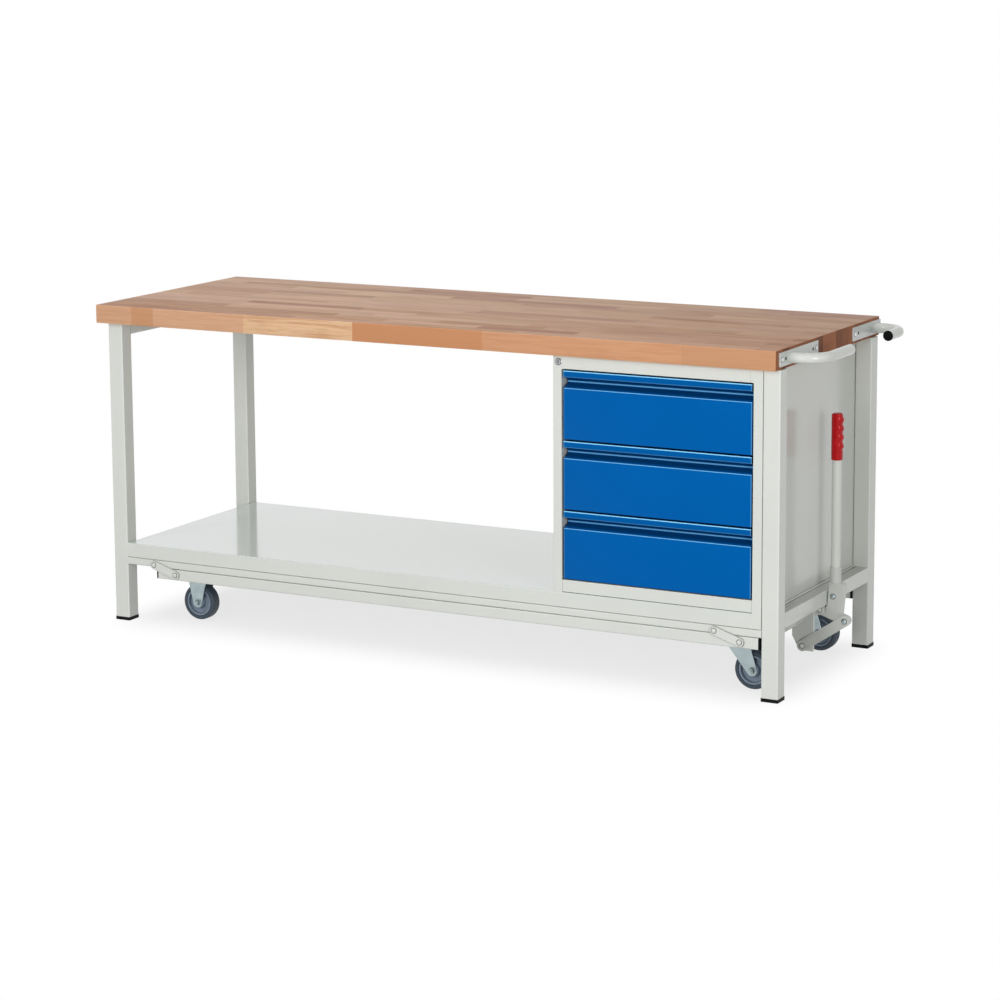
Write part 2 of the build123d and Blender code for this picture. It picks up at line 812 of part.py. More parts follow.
def caster_head():
    """Plate, ball race and kingpin of a swivel caster."""
    top = carriage_underside - caster_plate_thickness
    race_low = top - race_height
    crown_low = race_low - side_gap - crown_thickness
    race = Cone(race_diameter / 2 - 3, race_diameter / 2, race_height,
                align=(Align.CENTER, Align.CENTER, Align.MIN))
    stem_length = side_gap + crown_thickness + side_gap + kingpin_nut_height
    stem = Cylinder(kingpin_diameter / 2, stem_length,
                    align=(Align.CENTER, Align.CENTER, Align.MAX))
    nut = extrude(RegularPolygon(kingpin_nut / 2, 6), -kingpin_nut_height)
    body = caster_plate(right_caster_x)
    body += Pos(right_caster_x, wheel_y, race_low) * (race + stem)
    body += Pos(right_caster_x, wheel_y, crown_low - side_gap) * nut
    return body


def swivel_fork():
    """Fork of a swivel caster, with its crown under the ball race."""
    top = carriage_underside - caster_plate_thickness - race_height - side_gap
    axle_x = right_caster_x + caster_trail
    half = hub_width / 2 + fork_gap + fork_sheet
    crown = Cylinder(crown_diameter / 2, crown_thickness,
                     align=(Align.CENTER, Align.CENTER, Align.MAX))
    saddle = Box(fork_top_width, 2 * half, crown_thickness,
                 align=(Align.CENTER, Align.CENTER, Align.MAX))
    bore = Cylinder(kingpin_diameter / 2 + axle_clearance, 3 * crown_thickness)
    body = Pos(right_caster_x, wheel_y, top) * (crown + saddle - bore)
    body += fork_cheeks(right_caster_x, top, axle_x)
    return body + fork_axle(axle_x)


def tyre(x):
    """Soft tread ring with rounded shoulders."""
    outer = wheel_diameter / 2
    inner = outer - tread_thickness
    section = Pos((outer + inner) / 2, 0) * Rectangle(tread_thickness, wheel_width)
    corners = section.vertices().sort_by(Axis.X)[-2:]
    section = chamfer(corners, tread_round, 0.6 * tread_round)
    return Pos(x, wheel_y, axle_z) * revolve(section, axis=Axis.Y)


def wheel_core(x):
    """Rim, web and hub of a wheel."""
    rim = wheel_diameter / 2 - tread_thickness - core_gap
    bore = axle_diameter / 2 + axle_clearance
    points = [
        (bore, -hub_width / 2),
        (hub_radius - 2, -hub_width / 2),
        (hub_radius, -web_thickness / 2),
        (rim - 6, -web_thickness / 2),
        (rim - 4, -core_width / 2),
        (rim, -core_width / 2),
        (rim, core_width / 2),
        (rim - 4, core_width / 2),
        (rim - 6, web_thickness / 2),
        (hub_radius, web_thickness / 2),
        (hub_radius - 2, hub_width / 2),
        (bore, hub_width / 2),
        (bore, -hub_width / 2),
    ]
    section = make_face(Polyline(*points).edges())
    return Pos(x, wheel_y, axle_z) * revolve(section, axis=Axis.Y)


# ------------------------------------------------------------------ all pieces
def save(name, part):
    export_step(part, f"parts/{name}.step")


def several(*solids):
    total = Part() + solids[0]
    for solid in solids[1:]:
        total += solid
    return total


os.makedirs("parts", exist_ok=True)

leg_x_left = leg_left + leg_size / 2
leg_x_right = leg_right - leg_size / 2
leg_y = rail_front + leg_size / 2

save("worktop", worktop())
save("leg_front_left", leg(leg_x_left, leg_y))
save("leg_front_right", leg(leg_x_right, leg_y))
save("leg_rear_left", leg(leg_x_left, -leg_y))
save("leg_rear_right", leg(leg_x_right, -leg_y))
save("foot_caps", several(*[foot(x, y) for x in (leg_x_left, leg_x_right) for y in (leg_y, -leg_y)]))

left_rail_x = leg_left_inner - rail_width / 2
right_rail_x = leg_right - rail_width / 2
upper_left = tube_along_y(leg_front_inner, -leg_front_inner, left_rail_x,
                          top_underside - upper_rail_height / 2, rail_width, upper_rail_height)
lower_left = tube_along_y(leg_front_inner, -leg_front_inner, left_rail_x,
                          lower_rail_underside + lower_rail_height / 2, rail_width, lower_rail_height)
save("cross_rails_left", several(upper_left, lower_left))
save("cross_rail_right", tube_along_y(leg_front_inner, -leg_front_inner, right_rail_x,
                                      lower_rail_top + cross_rail_height / 2,
                                      rail_width, cross_rail_height))
front_rail = lower_rail()
save("lower_rails", several(front_rail, mirrored(front_rail)))
save("shelf_pan", shelf_pan())

left_side = cabinet_side()
cabinet_middle = Plane.YZ.offset((cabinet_left + cabinet_right) / 2)
save("cabinet_side_left", left_side - lock_hole())
save("cabinet_side_right", mirror(left_side, about=cabinet_middle))
save("cabinet_back", cabinet_back())
save("cabinet_head", cabinet_head())
save("cabinet_base", cabinet_base())

left_runners = [runner(index) for index in range(drawer_count)]
right_runners = [mirror(rail, about=cabinet_middle) for rail in left_runners]
save("drawer_runners", several(*left_runners, *right_runners))
for index in range(drawer_count):
    save(f"drawer_front_{index + 1}", drawer_front(index))
    save(f"drawer_tray_{index + 1}", drawer_tray(index))
save("lock_housing", lock_housing())
save("lock_cylinder", lock_cylinder())

save("push_handle_front", push_handle(front_plate_start, front_plate_length,
                                      front_handle_root, front_handle_end))
save("push_handle_rear", push_handle(rear_plate_start, rear_plate_length,
                                     rear_handle_root, rear_handle_end))
save("handle_plugs", several(handle_plug(front_handle_end, 1), handle_plug(rear_handle_end, -1)))
save("handle_screws", several(*[handle_screw(y) for y in screw_places()[0]]))

upper_pins = [pivot_pin(x, upper_pivot_z, pin_face, rail_inner)
              for x in (upper_pivot_left, upper_pivot_right)]
crank_pin = pivot_pin(*pivot_b, ear_front, -ear_front)
save("frame_pins", several(*upper_pins, *[mirrored(pin) for pin in upper_pins], crank_pin))
lower_pins = [pivot_pin(x, lower_pivot_z, pin_face, rail_inner, collar=0.0)
              for x in (lower_pivot_left, lower_pivot_right)]
pull_pin = pivot_pin(*pivot_d, push_link_front - side_gap, crank_front + bracket_plate)
save("carriage_pins", several(*lower_pins, *[mirrored(pin) for pin in lower_pins], pull_pin))

carriage_front = carriage_rail()
save("carriage_rail_front", carriage_front)
save("carriage_rail_rear", mirrored(carriage_front))
plugs = [carriage_plug(carriage_left, -1), carriage_plug(carriage_right, 1)]
save("carriage_end_plugs", several(*plugs, *[mirrored(plug) for plug in plugs]))
save("carriage_cross_left", carriage_cross(left_caster_x))
save("carriage_cross_right", carriage_cross(right_caster_x))
save("push_bracket", push_bracket())

for name, x in (("left", upper_pivot_left), ("right", upper_pivot_right)):
    bar = link(x)
    save(f"link_front_{name}", bar)
    save(f"link_rear_{name}", mirrored(bar))

save("lever_bracket", lever_ears())
save("lever_base", lever_base())
save("lever_tube", lever_tube())
save("lever_grip", lever_grip())
save("push_link", push_link())
save("lever_bolts", several(
    pivot_pin(*bolt_a, channel_front, -channel_front),
    pivot_pin(*pivot_c, push_link_front - side_gap, -crank_front)))

wheels = {"left": left_caster_x, "right": right_caster_x + caster_trail}
pieces = {"caster_fixed": fixed_fork(), "caster_head": caster_head(), "caster_swivel": swivel_fork()}
for name, x in wheels.items():
    pieces[f"tyre_{name}"] = tyre(x)
    pieces[f"wheel_{name}"] = wheel_core(x)
for name, piece in pieces.items():
    save(f"{name}_front", piece)
    save(f"{name}_rear", mirrored(piece))
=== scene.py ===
import json
import math

import bmesh
import bpy
import numpy as np
from bpy.props import FloatProperty, FloatVectorProperty, IntProperty, PointerProperty
from mathutils import Matrix, Vector


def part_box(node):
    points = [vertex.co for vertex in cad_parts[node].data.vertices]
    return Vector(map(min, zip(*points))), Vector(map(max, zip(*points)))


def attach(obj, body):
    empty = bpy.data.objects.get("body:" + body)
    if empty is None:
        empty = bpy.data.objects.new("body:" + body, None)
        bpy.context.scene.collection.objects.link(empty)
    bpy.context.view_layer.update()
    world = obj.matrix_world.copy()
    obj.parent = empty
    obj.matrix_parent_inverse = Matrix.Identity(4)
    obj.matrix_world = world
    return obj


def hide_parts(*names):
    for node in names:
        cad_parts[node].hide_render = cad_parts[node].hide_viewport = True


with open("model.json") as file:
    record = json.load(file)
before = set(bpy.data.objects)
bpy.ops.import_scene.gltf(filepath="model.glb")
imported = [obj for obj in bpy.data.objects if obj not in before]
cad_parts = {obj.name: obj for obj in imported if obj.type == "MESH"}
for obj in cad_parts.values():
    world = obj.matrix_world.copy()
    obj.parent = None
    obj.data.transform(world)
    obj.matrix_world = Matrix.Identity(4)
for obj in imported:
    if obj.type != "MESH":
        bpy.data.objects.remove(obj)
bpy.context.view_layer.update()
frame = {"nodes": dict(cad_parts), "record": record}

bl_info = {
    "name": "Mobile workbench",
    "version": (1, 0, 0),
    "blender": (4, 5, 0),
    "location": "View3D > Sidebar > Workbench",
    "description": "Dresses a mobile workbench with drawers, lowering gear and push handles",
    "category": "Object",
}

TURN = 2 * math.pi
CORNERS = [(end, side) for end in ("left", "right") for side in ("front", "rear")]
# share of clear coat over a paint, and its roughness
GLOSS = (0.2, 0.12)
NO_GLOSS = (0.0, 0.03)
SLOTS = {part["node"]: part["material_slot"] for part in frame["record"]["subparts"]}
BODY_OF = {node: body for body, nodes in frame["record"]["behaviour"]["bodies"].items()
           for node in nodes}


# ------------------------------------------------------------------ sizes and colours
class BenchWood(bpy.types.PropertyGroup):
    """Glued wooden top."""

    stave_width: FloatProperty(
        name="Stave width", description="Width of one glued row of staves",
        default=0.0437, unit="LENGTH")
    stave_length: FloatProperty(
        name="Stave length", description="Usual length of one stave",
        default=0.44, unit="LENGTH")
    arris: FloatProperty(
        name="Arris", description="Radius of the eased edges",
        default=0.0022, unit="LENGTH")
    pale: FloatVectorProperty(
        name="Pale wood", description="Colour of the lightest staves",
        default=(0.78, 0.49, 0.265), subtype="COLOR", size=3)
    dark: FloatVectorProperty(
        name="Dark wood", description="Colour of the darkest staves",
        default=(0.50, 0.225, 0.105), subtype="COLOR", size=3)
    end_grain: FloatVectorProperty(
        name="End grain", description="Colour of the sawn ends",
        default=(0.19, 0.062, 0.024), subtype="COLOR", size=3)


class BenchPaint(bpy.types.PropertyGroup):
    """Powder coat of the steel."""

    grey: FloatVectorProperty(
        name="Grey", description="Powder coat of the stand and cabinet",
        default=(0.60, 0.62, 0.58), subtype="COLOR", size=3)
    blue: FloatVectorProperty(
        name="Blue", description="Powder coat of the drawers",
        default=(0.0, 0.088, 0.335), subtype="COLOR", size=3)
    # painted highlight colour for the rounded edges of the grey steel, with a little wear
    edge: FloatVectorProperty(
        name="Edge", description="Grey coat where it runs thin over an edge",
        default=(0.78, 0.80, 0.77), subtype="COLOR", size=3)
    # painted highlight colour for the folds of the drawer fronts, with a little wear
    fold_highlight: FloatVectorProperty(
        name="Fold", description="Blue coat where it runs thin over a fold",
        default=(0.28, 0.70, 1.0), subtype="COLOR", size=3)
    ease: FloatProperty(
        name="Ease", description="Width of the rounding along cut edges",
        default=0.0008, unit="LENGTH")
    grain: FloatProperty(
        name="Grain", description="Spacing of the coat's fine waviness",
        default=0.0022, unit="LENGTH")


class BenchFolds(bpy.types.PropertyGroup):
    """Folded drawer fronts with a grip channel along the top."""

    bend: FloatProperty(
        name="Bend", description="Outer radius of the folds in the drawer fronts",
        default=0.0025, unit="LENGTH")
    lip: FloatProperty(
        name="Lip", description="Height of the lip over the grip channel",
        default=0.0165, unit="LENGTH")
    drop: FloatProperty(
        name="Drop", description="Height from the top of a front to its panel",
        default=0.044, unit="LENGTH")
    sheet: FloatProperty(
        name="Sheet", description="Thickness of the folded sheet",
        default=0.0011, unit="LENGTH")


class BenchWheels(bpy.types.PropertyGroup):
    """Caster wheels."""

    shoulder: FloatProperty(
        name="Shoulder", description="Rounding of the tyre's shoulders",
        default=0.0075, unit="LENGTH")
    rubber: FloatVectorProperty(
        name="Rubber", description="Colour of the tyres",
        default=(0.030, 0.044, 0.062), subtype="COLOR", size=3)
    core: FloatVectorProperty(
        name="Core", description="Colour of the wheel cores",
        default=(0.15, 0.19, 0.245), subtype="COLOR", size=3)
    segments: IntProperty(
        name="Segments", description="Steps round each wheel", default=96, min=24, max=256)


class BenchGrip(bpy.types.PropertyGroup):
    """Lever and its grip."""

    hollow: FloatProperty(
        name="Hollow", description="Depth of the finger hollows",
        default=0.0007, unit="LENGTH")
    red: FloatVectorProperty(
        name="Red", description="Colour of the grip",
        default=(0.365, 0.001, 0.003), subtype="COLOR", size=3)
    fingers: IntProperty(name="Fingers", description="Number of swells", default=4, min=2, max=5)


class BenchStage(bpy.types.PropertyGroup):
    """Camera, lamps and floor."""

    lens: FloatProperty(
        name="Lens", description="Focal length of the camera in millimetres", default=105.984)
    rise: FloatProperty(
        name="Shift", description="Vertical shift of the camera", default=-0.1)
    place: FloatVectorProperty(
        name="Place", description="Place of the camera",
        default=(3.66004, -6.85706, 1.92589), subtype="TRANSLATION", size=3)
    azimuth: FloatProperty(
        name="Azimuth", description="Turn of the view from straight ahead",
        default=math.radians(28.0259), subtype="ANGLE")
    elevation: FloatProperty(
        name="Elevation", description="Height of the view over the horizon",
        default=math.radians(9.3914), subtype="ANGLE")
    roll: FloatProperty(
        name="Roll", description="Tilt of the view about its own axis",
        default=math.radians(-0.3503), subtype="ANGLE")
    sky: FloatProperty(name="Sky", description="Strength of the even light", default=0.47)
    front: FloatProperty(
        name="Front", description="Power of the wide lamp before the drawers", default=240.0,
        subtype="POWER")
    side: FloatProperty(
        name="Side", description="Power of the lamp beyond the handles", default=72.0,
        subtype="POWER")
    high: FloatProperty(
        name="High", description="Power of the lamp that picks out the folds", default=32.0,
        subtype="POWER")


# ------------------------------------------------------------------ surfaces
def smooth(mesh, sharp=32):
    """Smooth shading that breaks at edges which turn by more than this many degrees."""
    mesh.polygons.foreach_set("use_smooth", np.ones(len(mesh.polygons), bool))
    mesh.set_sharp_from_angle(angle=math.radians(sharp))


def skin(rings, capped=True):
    """Closed surface over rings, an array of m rings of n points.

    Each ring is joined to the next by quads, and round to its first point. Capped, the
    first and last ring get a face each. Faces are turned outwards by the sign of the
    enclosed volume."""
    rings = np.asarray(rings, float)
    m, n, _ = rings.shape
    row, column = np.meshgrid(np.arange(m - 1), np.arange(n), indexing="ij")
    after = (column + 1) % n
    quads = np.stack([row * n + column, row * n + after,
                      (row + 1) * n + after, (row + 1) * n + column], -1).reshape(-1, 4)
    faces = quads.tolist()
    if capped:
        faces += [list(range(n))[::-1], list(range((m - 1) * n, m * n))]
    mesh = bpy.data.meshes.new("surface")
    mesh.from_pydata(rings.reshape(-1, 3).tolist(), [], faces)
    corners = rings.reshape(-1, 3)[quads]
    first, second, third, fourth = np.moveaxis(corners - corners.mean((0, 1)), 1, 0)
    if np.sum(first * (np.cross(second, third) + np.cross(third, fourth))) < 0:
        mesh.flip_normals()
    smooth(mesh)
    return mesh


def turned(profile, centre, axis, segments, capped=True):
    """Surface of revolution: P(i, t) = centre + axis * a_i + r_i * (u cos t + v sin t).

    profile holds pairs of (r, a), and u, v and axis are at right angles."""
    profile = np.asarray(profile, float)
    axis = np.asarray(axis, float)
    u = np.cross(axis, (0.0, 0.0, 1.0) if abs(axis[2]) < 0.9 else (1.0, 0.0, 0.0))
    u = u / np.linalg.norm(u)
    v = np.cross(axis, u)
    t = np.arange(segments) * TURN / segments
    ring = np.cos(t)[:, None] * u + np.sin(t)[:, None] * v
    rings = (np.asarray(centre, float) + profile[:, 1, None, None] * axis
             + profile[:, 0, None, None] * ring)
    return skin(rings, capped)


def arc(centre, radius, begin, finish, steps):
    """Points c + r * (cos t, sin t) with t from begin to finish, in degrees."""
    t = np.radians(np.linspace(begin, finish, steps))
    return np.stack([centre[0] + radius * np.cos(t), centre[1] + radius * np.sin(t)], -1)


def rounded_box_section(half_a, half_b, radius, steps):
    """Corner arcs of a rectangle, each a quarter of a circle of the given radius."""
    a, b = half_a - radius, half_b - radius
    return np.concatenate([
        arc((a, b), radius, 0, 90, steps), arc((-a, b), radius, 90, 180, steps),
        arc((-a, -b), radius, 180, 270, steps), arc((a, -b), radius, 270, 360, steps)])


def slab(low, high, radius, steps=3):
    """Block with eased edges: at r(1 - cos t) from each end its YZ section is drawn in by
    r(1 - sin t), with t from 0 to a quarter turn."""
    low, high = np.asarray(low), np.asarray(high)
    middle, half = (low + high) / 2, (high - low) / 2
    rings = []
    for side in (-1, 1):
        for t in np.linspace(0, math.pi / 2, steps)[::-side]:
            inset = radius * (1 - math.sin(t))
            section = rounded_box_section(half[1] - inset, half[2] - inset,
                                          max(radius - inset, 1e-5), steps)
            along = middle[0] + side * (half[0] - radius * (1 - math.cos(t)))
            rings.append(np.column_stack([np.full(len(section), along), middle[1:] + section]))
    return skin(rings)


def bent(points, radius):
    """Line through points in which each inner corner is an arc that touches both its runs."""
    steps = 6
    line = [points[0]]
    for before, corner, after in zip(points, points[1:], points[2:]):
        come = np.subtract(corner, before) / np.linalg.norm(np.subtract(corner, before))
        go = np.subtract(after, corner) / np.linalg.norm(np.subtract(after, corner))
        turn = math.atan2(come[0] * go[1] - come[1] * go[0], come @ go)
        side = np.array([-come[1], come[0]]) * math.copysign(radius, turn)
        start = np.asarray(corner) - come * radius * math.tan(abs(turn) / 2)
        t = np.linspace(0, turn, steps)[:, None]
        spin = np.hstack([np.cos(t) * side[0] - np.sin(t) * side[1],
                          np.sin(t) * side[0] + np.cos(t) * side[1]])
        line.extend(start + side - spin)
    return np.array([*line, points[-1]])


def folded_sheet(points, radius, thickness, left, right):
    """Bent sheet: the line and its copy set off to the left by the thickness, carried along X."""
    line = bent(points, radius)
    run = np.diff(line, axis=0)
    run = run / np.linalg.norm(run, axis=1)[:, None]
    before, after = np.vstack([run[:1], run]), np.vstack([run, run[-1:]])
    middle = before + after
    middle = middle / np.linalg.norm(middle, axis=1)[:, None]
    lift = thickness / np.einsum("ij,ij->i", middle, after)
    inner = line + np.column_stack([-middle[:, 1], middle[:, 0]]) * lift[:, None]
    section = np.vstack([line, inner[::-1]])
    return skin([np.column_stack([np.full(len(section), x), section]) for x in (left, right)])


def solids(node):
    """Lowest and highest corner of each separate solid in a CAD node.

    Points that lie together count as one, and every triangle hands its lowest label on
    until none changes."""
    mesh = frame["nodes"][node].data
    points = np.empty(3 * len(mesh.vertices))
    mesh.vertices.foreach_get("co", points)
    corners = np.empty(len(mesh.loops), int)
    mesh.loops.foreach_get("vertex_index", corners)
    points, same = np.unique(np.round(points.reshape(-1, 3), 6), axis=0, return_inverse=True)
    faces = same.ravel()[corners].reshape(-1, 3)
    label = np.arange(len(points))
    while True:
        fresh = label.copy()
        for k in range(3):
            np.minimum.at(fresh, faces[:, k], label[faces].min(1))
        fresh = fresh[fresh]
        if (fresh == label).all():
            return [(points[label == k].min(0), points[label == k].max(0))
                    for k in np.unique(label)]
        label = fresh


def joined(meshes):
    """One mesh made of several, each keeping its own faces."""
    work = bmesh.new()
    for mesh in meshes:
        work.from_mesh(mesh)
        bpy.data.meshes.remove(mesh)
    whole = bpy.data.meshes.new("joined")
    work.to_mesh(whole)
    work.free()
    smooth(whole)
    return whole


def extra(name, mesh, body, finish):
    """Shows a mesh as a piece on a body, in the finish of this name."""
    mesh.name = name
    made = bpy.data.objects.new(name, mesh)
    bpy.context.scene.collection.objects.link(made)
    made.data.materials.append(Workshop.finish(finish))
    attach(made, body)
    return made


def piece(name, mesh, finish, node):
    """Shows a mesh that stands for a CAD node, on the node's body and with its slot."""
    made = extra(name, mesh, BODY_OF[node], finish)
    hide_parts(node)
    return made


def eased(node, width, finish, edge):
    """Merged copy of a CAD node whose sharp edges are rounded and take a second finish.

    Points that lie together become one, and faces in one plane too, before the rounding."""
    same_point, same_plane = 1e-5, math.radians(0.4)
    work = bmesh.new()
    work.from_mesh(frame["nodes"][node].data)
    bmesh.ops.remove_doubles(work, verts=work.verts, dist=same_point)
    bmesh.ops.dissolve_limit(work, angle_limit=same_plane, verts=work.verts, edges=work.edges)
    mesh = bpy.data.meshes.new("eased")
    work.to_mesh(mesh)
    work.free()
    mesh.materials.clear()
    made = piece(f"{node}_eased", mesh, finish, node)
    made.data.materials.append(Workshop.finish(edge))
    mesh.polygons.foreach_set("material_index", np.zeros(len(mesh.polygons), int))
    smooth(mesh, sharp=25)
    bevel = made.modifiers.new("eased", "BEVEL")
    bevel.width = width
    bevel.segments = 2
    bevel.limit_method = "ANGLE"
    bevel.angle_limit = math.radians(30)
    bevel.material = 1


# ------------------------------------------------------------------ shader maths
def sums(operation, reflected=False):
    """A method that adds one Math node for this operation on two numbers or wires."""
    def method(self, other):
        pair = (other, self) if reflected else (self, other)
        return self.finish.node("ShaderNodeMath", {"operation": operation}, dict(enumerate(pair)))
    return method


class Wire:
    """An output socket. Sums on wires and numbers add their Math nodes."""

    def __init__(self, finish, socket):
        self.finish = finish
        self.socket = socket

    __add__, __radd__ = sums("ADD"), sums("ADD", True)
    __sub__, __rsub__ = sums("SUBTRACT"), sums("SUBTRACT", True)
    __mul__, __rmul__ = sums("MULTIPLY"), sums("MULTIPLY", True)
    __truediv__, __rtruediv__ = sums("DIVIDE"), sums("DIVIDE", True)
    __lt__, __gt__ = sums("LESS_THAN"), sums("GREATER_THAN")
    most = sums("MAXIMUM")  # the larger of two numbers

    def of(self, operation):
        """The same number after a one-sided operation, such as FLOOR or FRACT."""
        return self.finish.node("ShaderNodeMath", {"operation": operation}, {0: self})


class Finish:
    """A material, or the sky, in the making."""

    def __init__(self, owner):
        self.owner = owner
        owner.use_nodes = True
        self.tree = owner.node_tree
        self.tree.nodes.clear()
        self.place = self.node("ShaderNodeTexCoord", output="Object")

    def node(self, kind, settings=None, sockets=None, output=0):
        """Adds a node: its settings first, then a value or a wire for each socket."""
        made = self.tree.nodes.new(kind)
        for key, value in (settings or {}).items():
            if key == "stops":
                ramp = made.color_ramp
                ramp.interpolation = "CONSTANT"
                ramp.elements.remove(ramp.elements[1])
                ramp.elements[0].position = value[0][0]
                ramp.elements[0].color = (*value[0][1], 1.0)
                for at, colour in value[1:]:
                    ramp.elements.new(at).color = (*colour, 1.0)
            else:
                setattr(made, key, value)
        for key, value in (sockets or {}).items():
            if isinstance(value, Wire):
                self.tree.links.new(value.socket, made.inputs[key])
            else:
                made.inputs[key].default_value = value
        return Wire(self, made.outputs[output])

    def parts(self, vector):
        """The three numbers of a vector or colour."""
        split = self.node("ShaderNodeSeparateXYZ", None, {0: vector}).socket.node
        return [Wire(self, socket) for socket in split.outputs]

    def axes(self):
        """The object's x, y and z in metres."""
        return self.parts(self.place)

    def vector(self, x, y, z):
        """A vector of three numbers."""
        return self.node("ShaderNodeCombineXYZ", None, {0: x, 1: y, 2: z})

    def vectors(self, operation, first, second):
        """The sum or product of two vectors or colours, axis by axis."""
        return self.node("ShaderNodeVectorMath", {"operation": operation}, {0: first, 1: second})

    def stretched(self, x, y, z):
        """Object coordinates times a number for each axis."""
        return self.vectors("MULTIPLY", self.place, (x, y, z))

    def noise(self, vector, scale, detail, roughness):
        """Smooth random number from 0 to 1, with this many swings for each unit of the vector."""
        return self.node("ShaderNodeTexNoise", None, {
            "Vector": vector, "Scale": scale, "Detail": detail, "Roughness": roughness})

    def chance(self, vector):
        """A fixed random colour for each whole-number vector."""
        return self.node("ShaderNodeTexWhiteNoise", {"noise_dimensions": "3D"},
                         {"Vector": vector}, "Color")

    def spread(self, value, low, high, to_low=0.0, to_high=1.0, curve="LINEAR"):
        """Maps low..high to to_low..to_high, and holds the ends."""
        return self.node("ShaderNodeMapRange", {"clamp": True, "interpolation_type": curve}, {
            "Value": value, "From Min": low, "From Max": high,
            "To Min": to_low, "To Max": to_high})

    def band(self, value, at, half):
        """1 where value lies within half of at, fading to 0 over 0.4 mm."""
        return self.spread((value - at).of("ABSOLUTE"), half, half + 0.0004, 1.0, 0.0)

    def mix(self, factor, first, second):
        """Colour between first and second."""
        first, second = [c if isinstance(c, Wire) else (*c, 1.0) for c in (first, second)]
        return self.node("ShaderNodeMix", {"data_type": "RGBA"},
                         {0: factor, 6: first, 7: second}, 2)

    def bump(self, height, distance, strength):
        """Surface direction of a relief whose height of 1 is this distance in metres."""
        return self.node("ShaderNodeBump", None, {
            "Height": height, "Distance": distance, "Strength": strength})

    def shade(self, **sockets):
        """Ends the material with a Principled shader and these sockets."""
        named = {key.replace("_", " "): value for key, value in sockets.items()}
        self.end("ShaderNodeOutputMaterial", self.node("ShaderNodeBsdfPrincipled", None, named))
        return self.owner

    def end(self, kind, shader):
        """Joins a shader to the output of this kind."""
        last = self.tree.nodes.new(kind)
        self.tree.links.new(shader.socket, last.inputs["Surface"])


# ------------------------------------------------------------------ finishes
def toned(colour, share):
    """A colour times a number."""
    return [share * c for c in colour]


def stave_tone(f, wood, own, grain, streak, fleck):
    """Tone of one stave, from dark to pale by its own chance, with its streaks and flecks."""
    late_grain, early_grain = (0.32, 0.13, 0.07), (0.88, 0.60, 0.38)
    rose, heartwood, sapwood = (0.78, 0.475, 0.36), (0.33, 0.115, 0.060), (0.80, 0.55, 0.36)
    tone, hue, odd = f.parts(own)
    broad = f.noise(f.vectors("MULTIPLY", grain, (0.7, 0.16, 0.16)), 1.0, 2.0, 0.5)
    body = f.mix(tone, wood.dark, wood.pale)
    body = f.mix(0.5 * f.spread(broad, 0.35, 0.68), body, toned(wood.pale, 0.72))
    body = f.mix(0.55 * f.spread(streak, 0.50, 0.68), body, late_grain)
    body = f.mix(0.40 * f.spread(streak, 0.50, 0.34), body, early_grain)
    body = f.mix(0.22 * f.spread(fleck, 0.62, 0.72), body, toned(wood.dark, 0.35))
    body = f.mix(0.55 * hue, body, rose)
    body = f.mix(0.45 * (odd > 0.82), body, heartwood)
    return f.mix(0.40 * (odd < 0.07), body, sapwood)


def front_staves(f, share):
    """Front edge: a row of its own, whose long staves meet at shares of its length."""
    pale_from, pale_to, warm_from, warm_to = 0.237, 0.4055, 0.597, 0.8735
    lath = f.node("ShaderNodeValToRGB", {"stops": (
        (0.0, (0.74, 0.43, 0.26)), (0.055, (0.66, 0.34, 0.18)), (0.09, (0.76, 0.45, 0.28)),
        (pale_from, (0.88, 0.60, 0.36)), (pale_to, (0.63, 0.285, 0.13)),
        (warm_from, (0.70, 0.365, 0.20)), (warm_to, (0.62, 0.33, 0.175)))}, {0: share})
    fine = f.noise(f.stretched(8.0, 150.0, 150.0), 1.0, 4.0, 0.65)
    lined = ((share > pale_from) * (share < pale_to)
             + 0.7 * (share > warm_from) * (share < warm_to))
    return f.mix((0.35 + 0.30 * lined) * f.spread(fine, 0.44, 0.62), lath, (0.56, 0.27, 0.135))


def end_grain(f, wood, across, lot, height):
    """Sawn end: rings r = sqrt(y^2 + z^2) about a heart below each stave, and fine pores."""
    ring_width = 0.0033
    heart_y = (across.of("FRACT") - 0.5 + 1.6 * (lot[2] - 0.5)) * wood.stave_width
    heart_z = height + 0.05 + 0.05 * lot[0]
    radius = (heart_y * heart_y + heart_z * heart_z).of("SQRT")
    wave = f.noise(f.stretched(1.0, 60.0, 60.0), 1.0, 3.0, 0.6)
    ring = ((radius + 0.004 * wave) / ring_width).of("FRACT")
    pore = f.noise(f.stretched(1.0, 1400.0, 1400.0), 1.0, 1.0, 0.5)
    sawn = f.mix(f.spread(ring, 0.2, 0.95), wood.end_grain, toned(wood.end_grain, 0.62))
    sawn = f.mix(0.72 * f.spread(lot[2], 0.3, 0.9), sawn, (0.37, 0.140, 0.060))
    sawn = f.mix(0.3 * f.spread(pore, 0.5, 0.7), sawn, toned(wood.end_grain, 0.4))
    return sawn, -0.5 * f.spread(pore, 0.5, 0.7) - 0.3 * ring


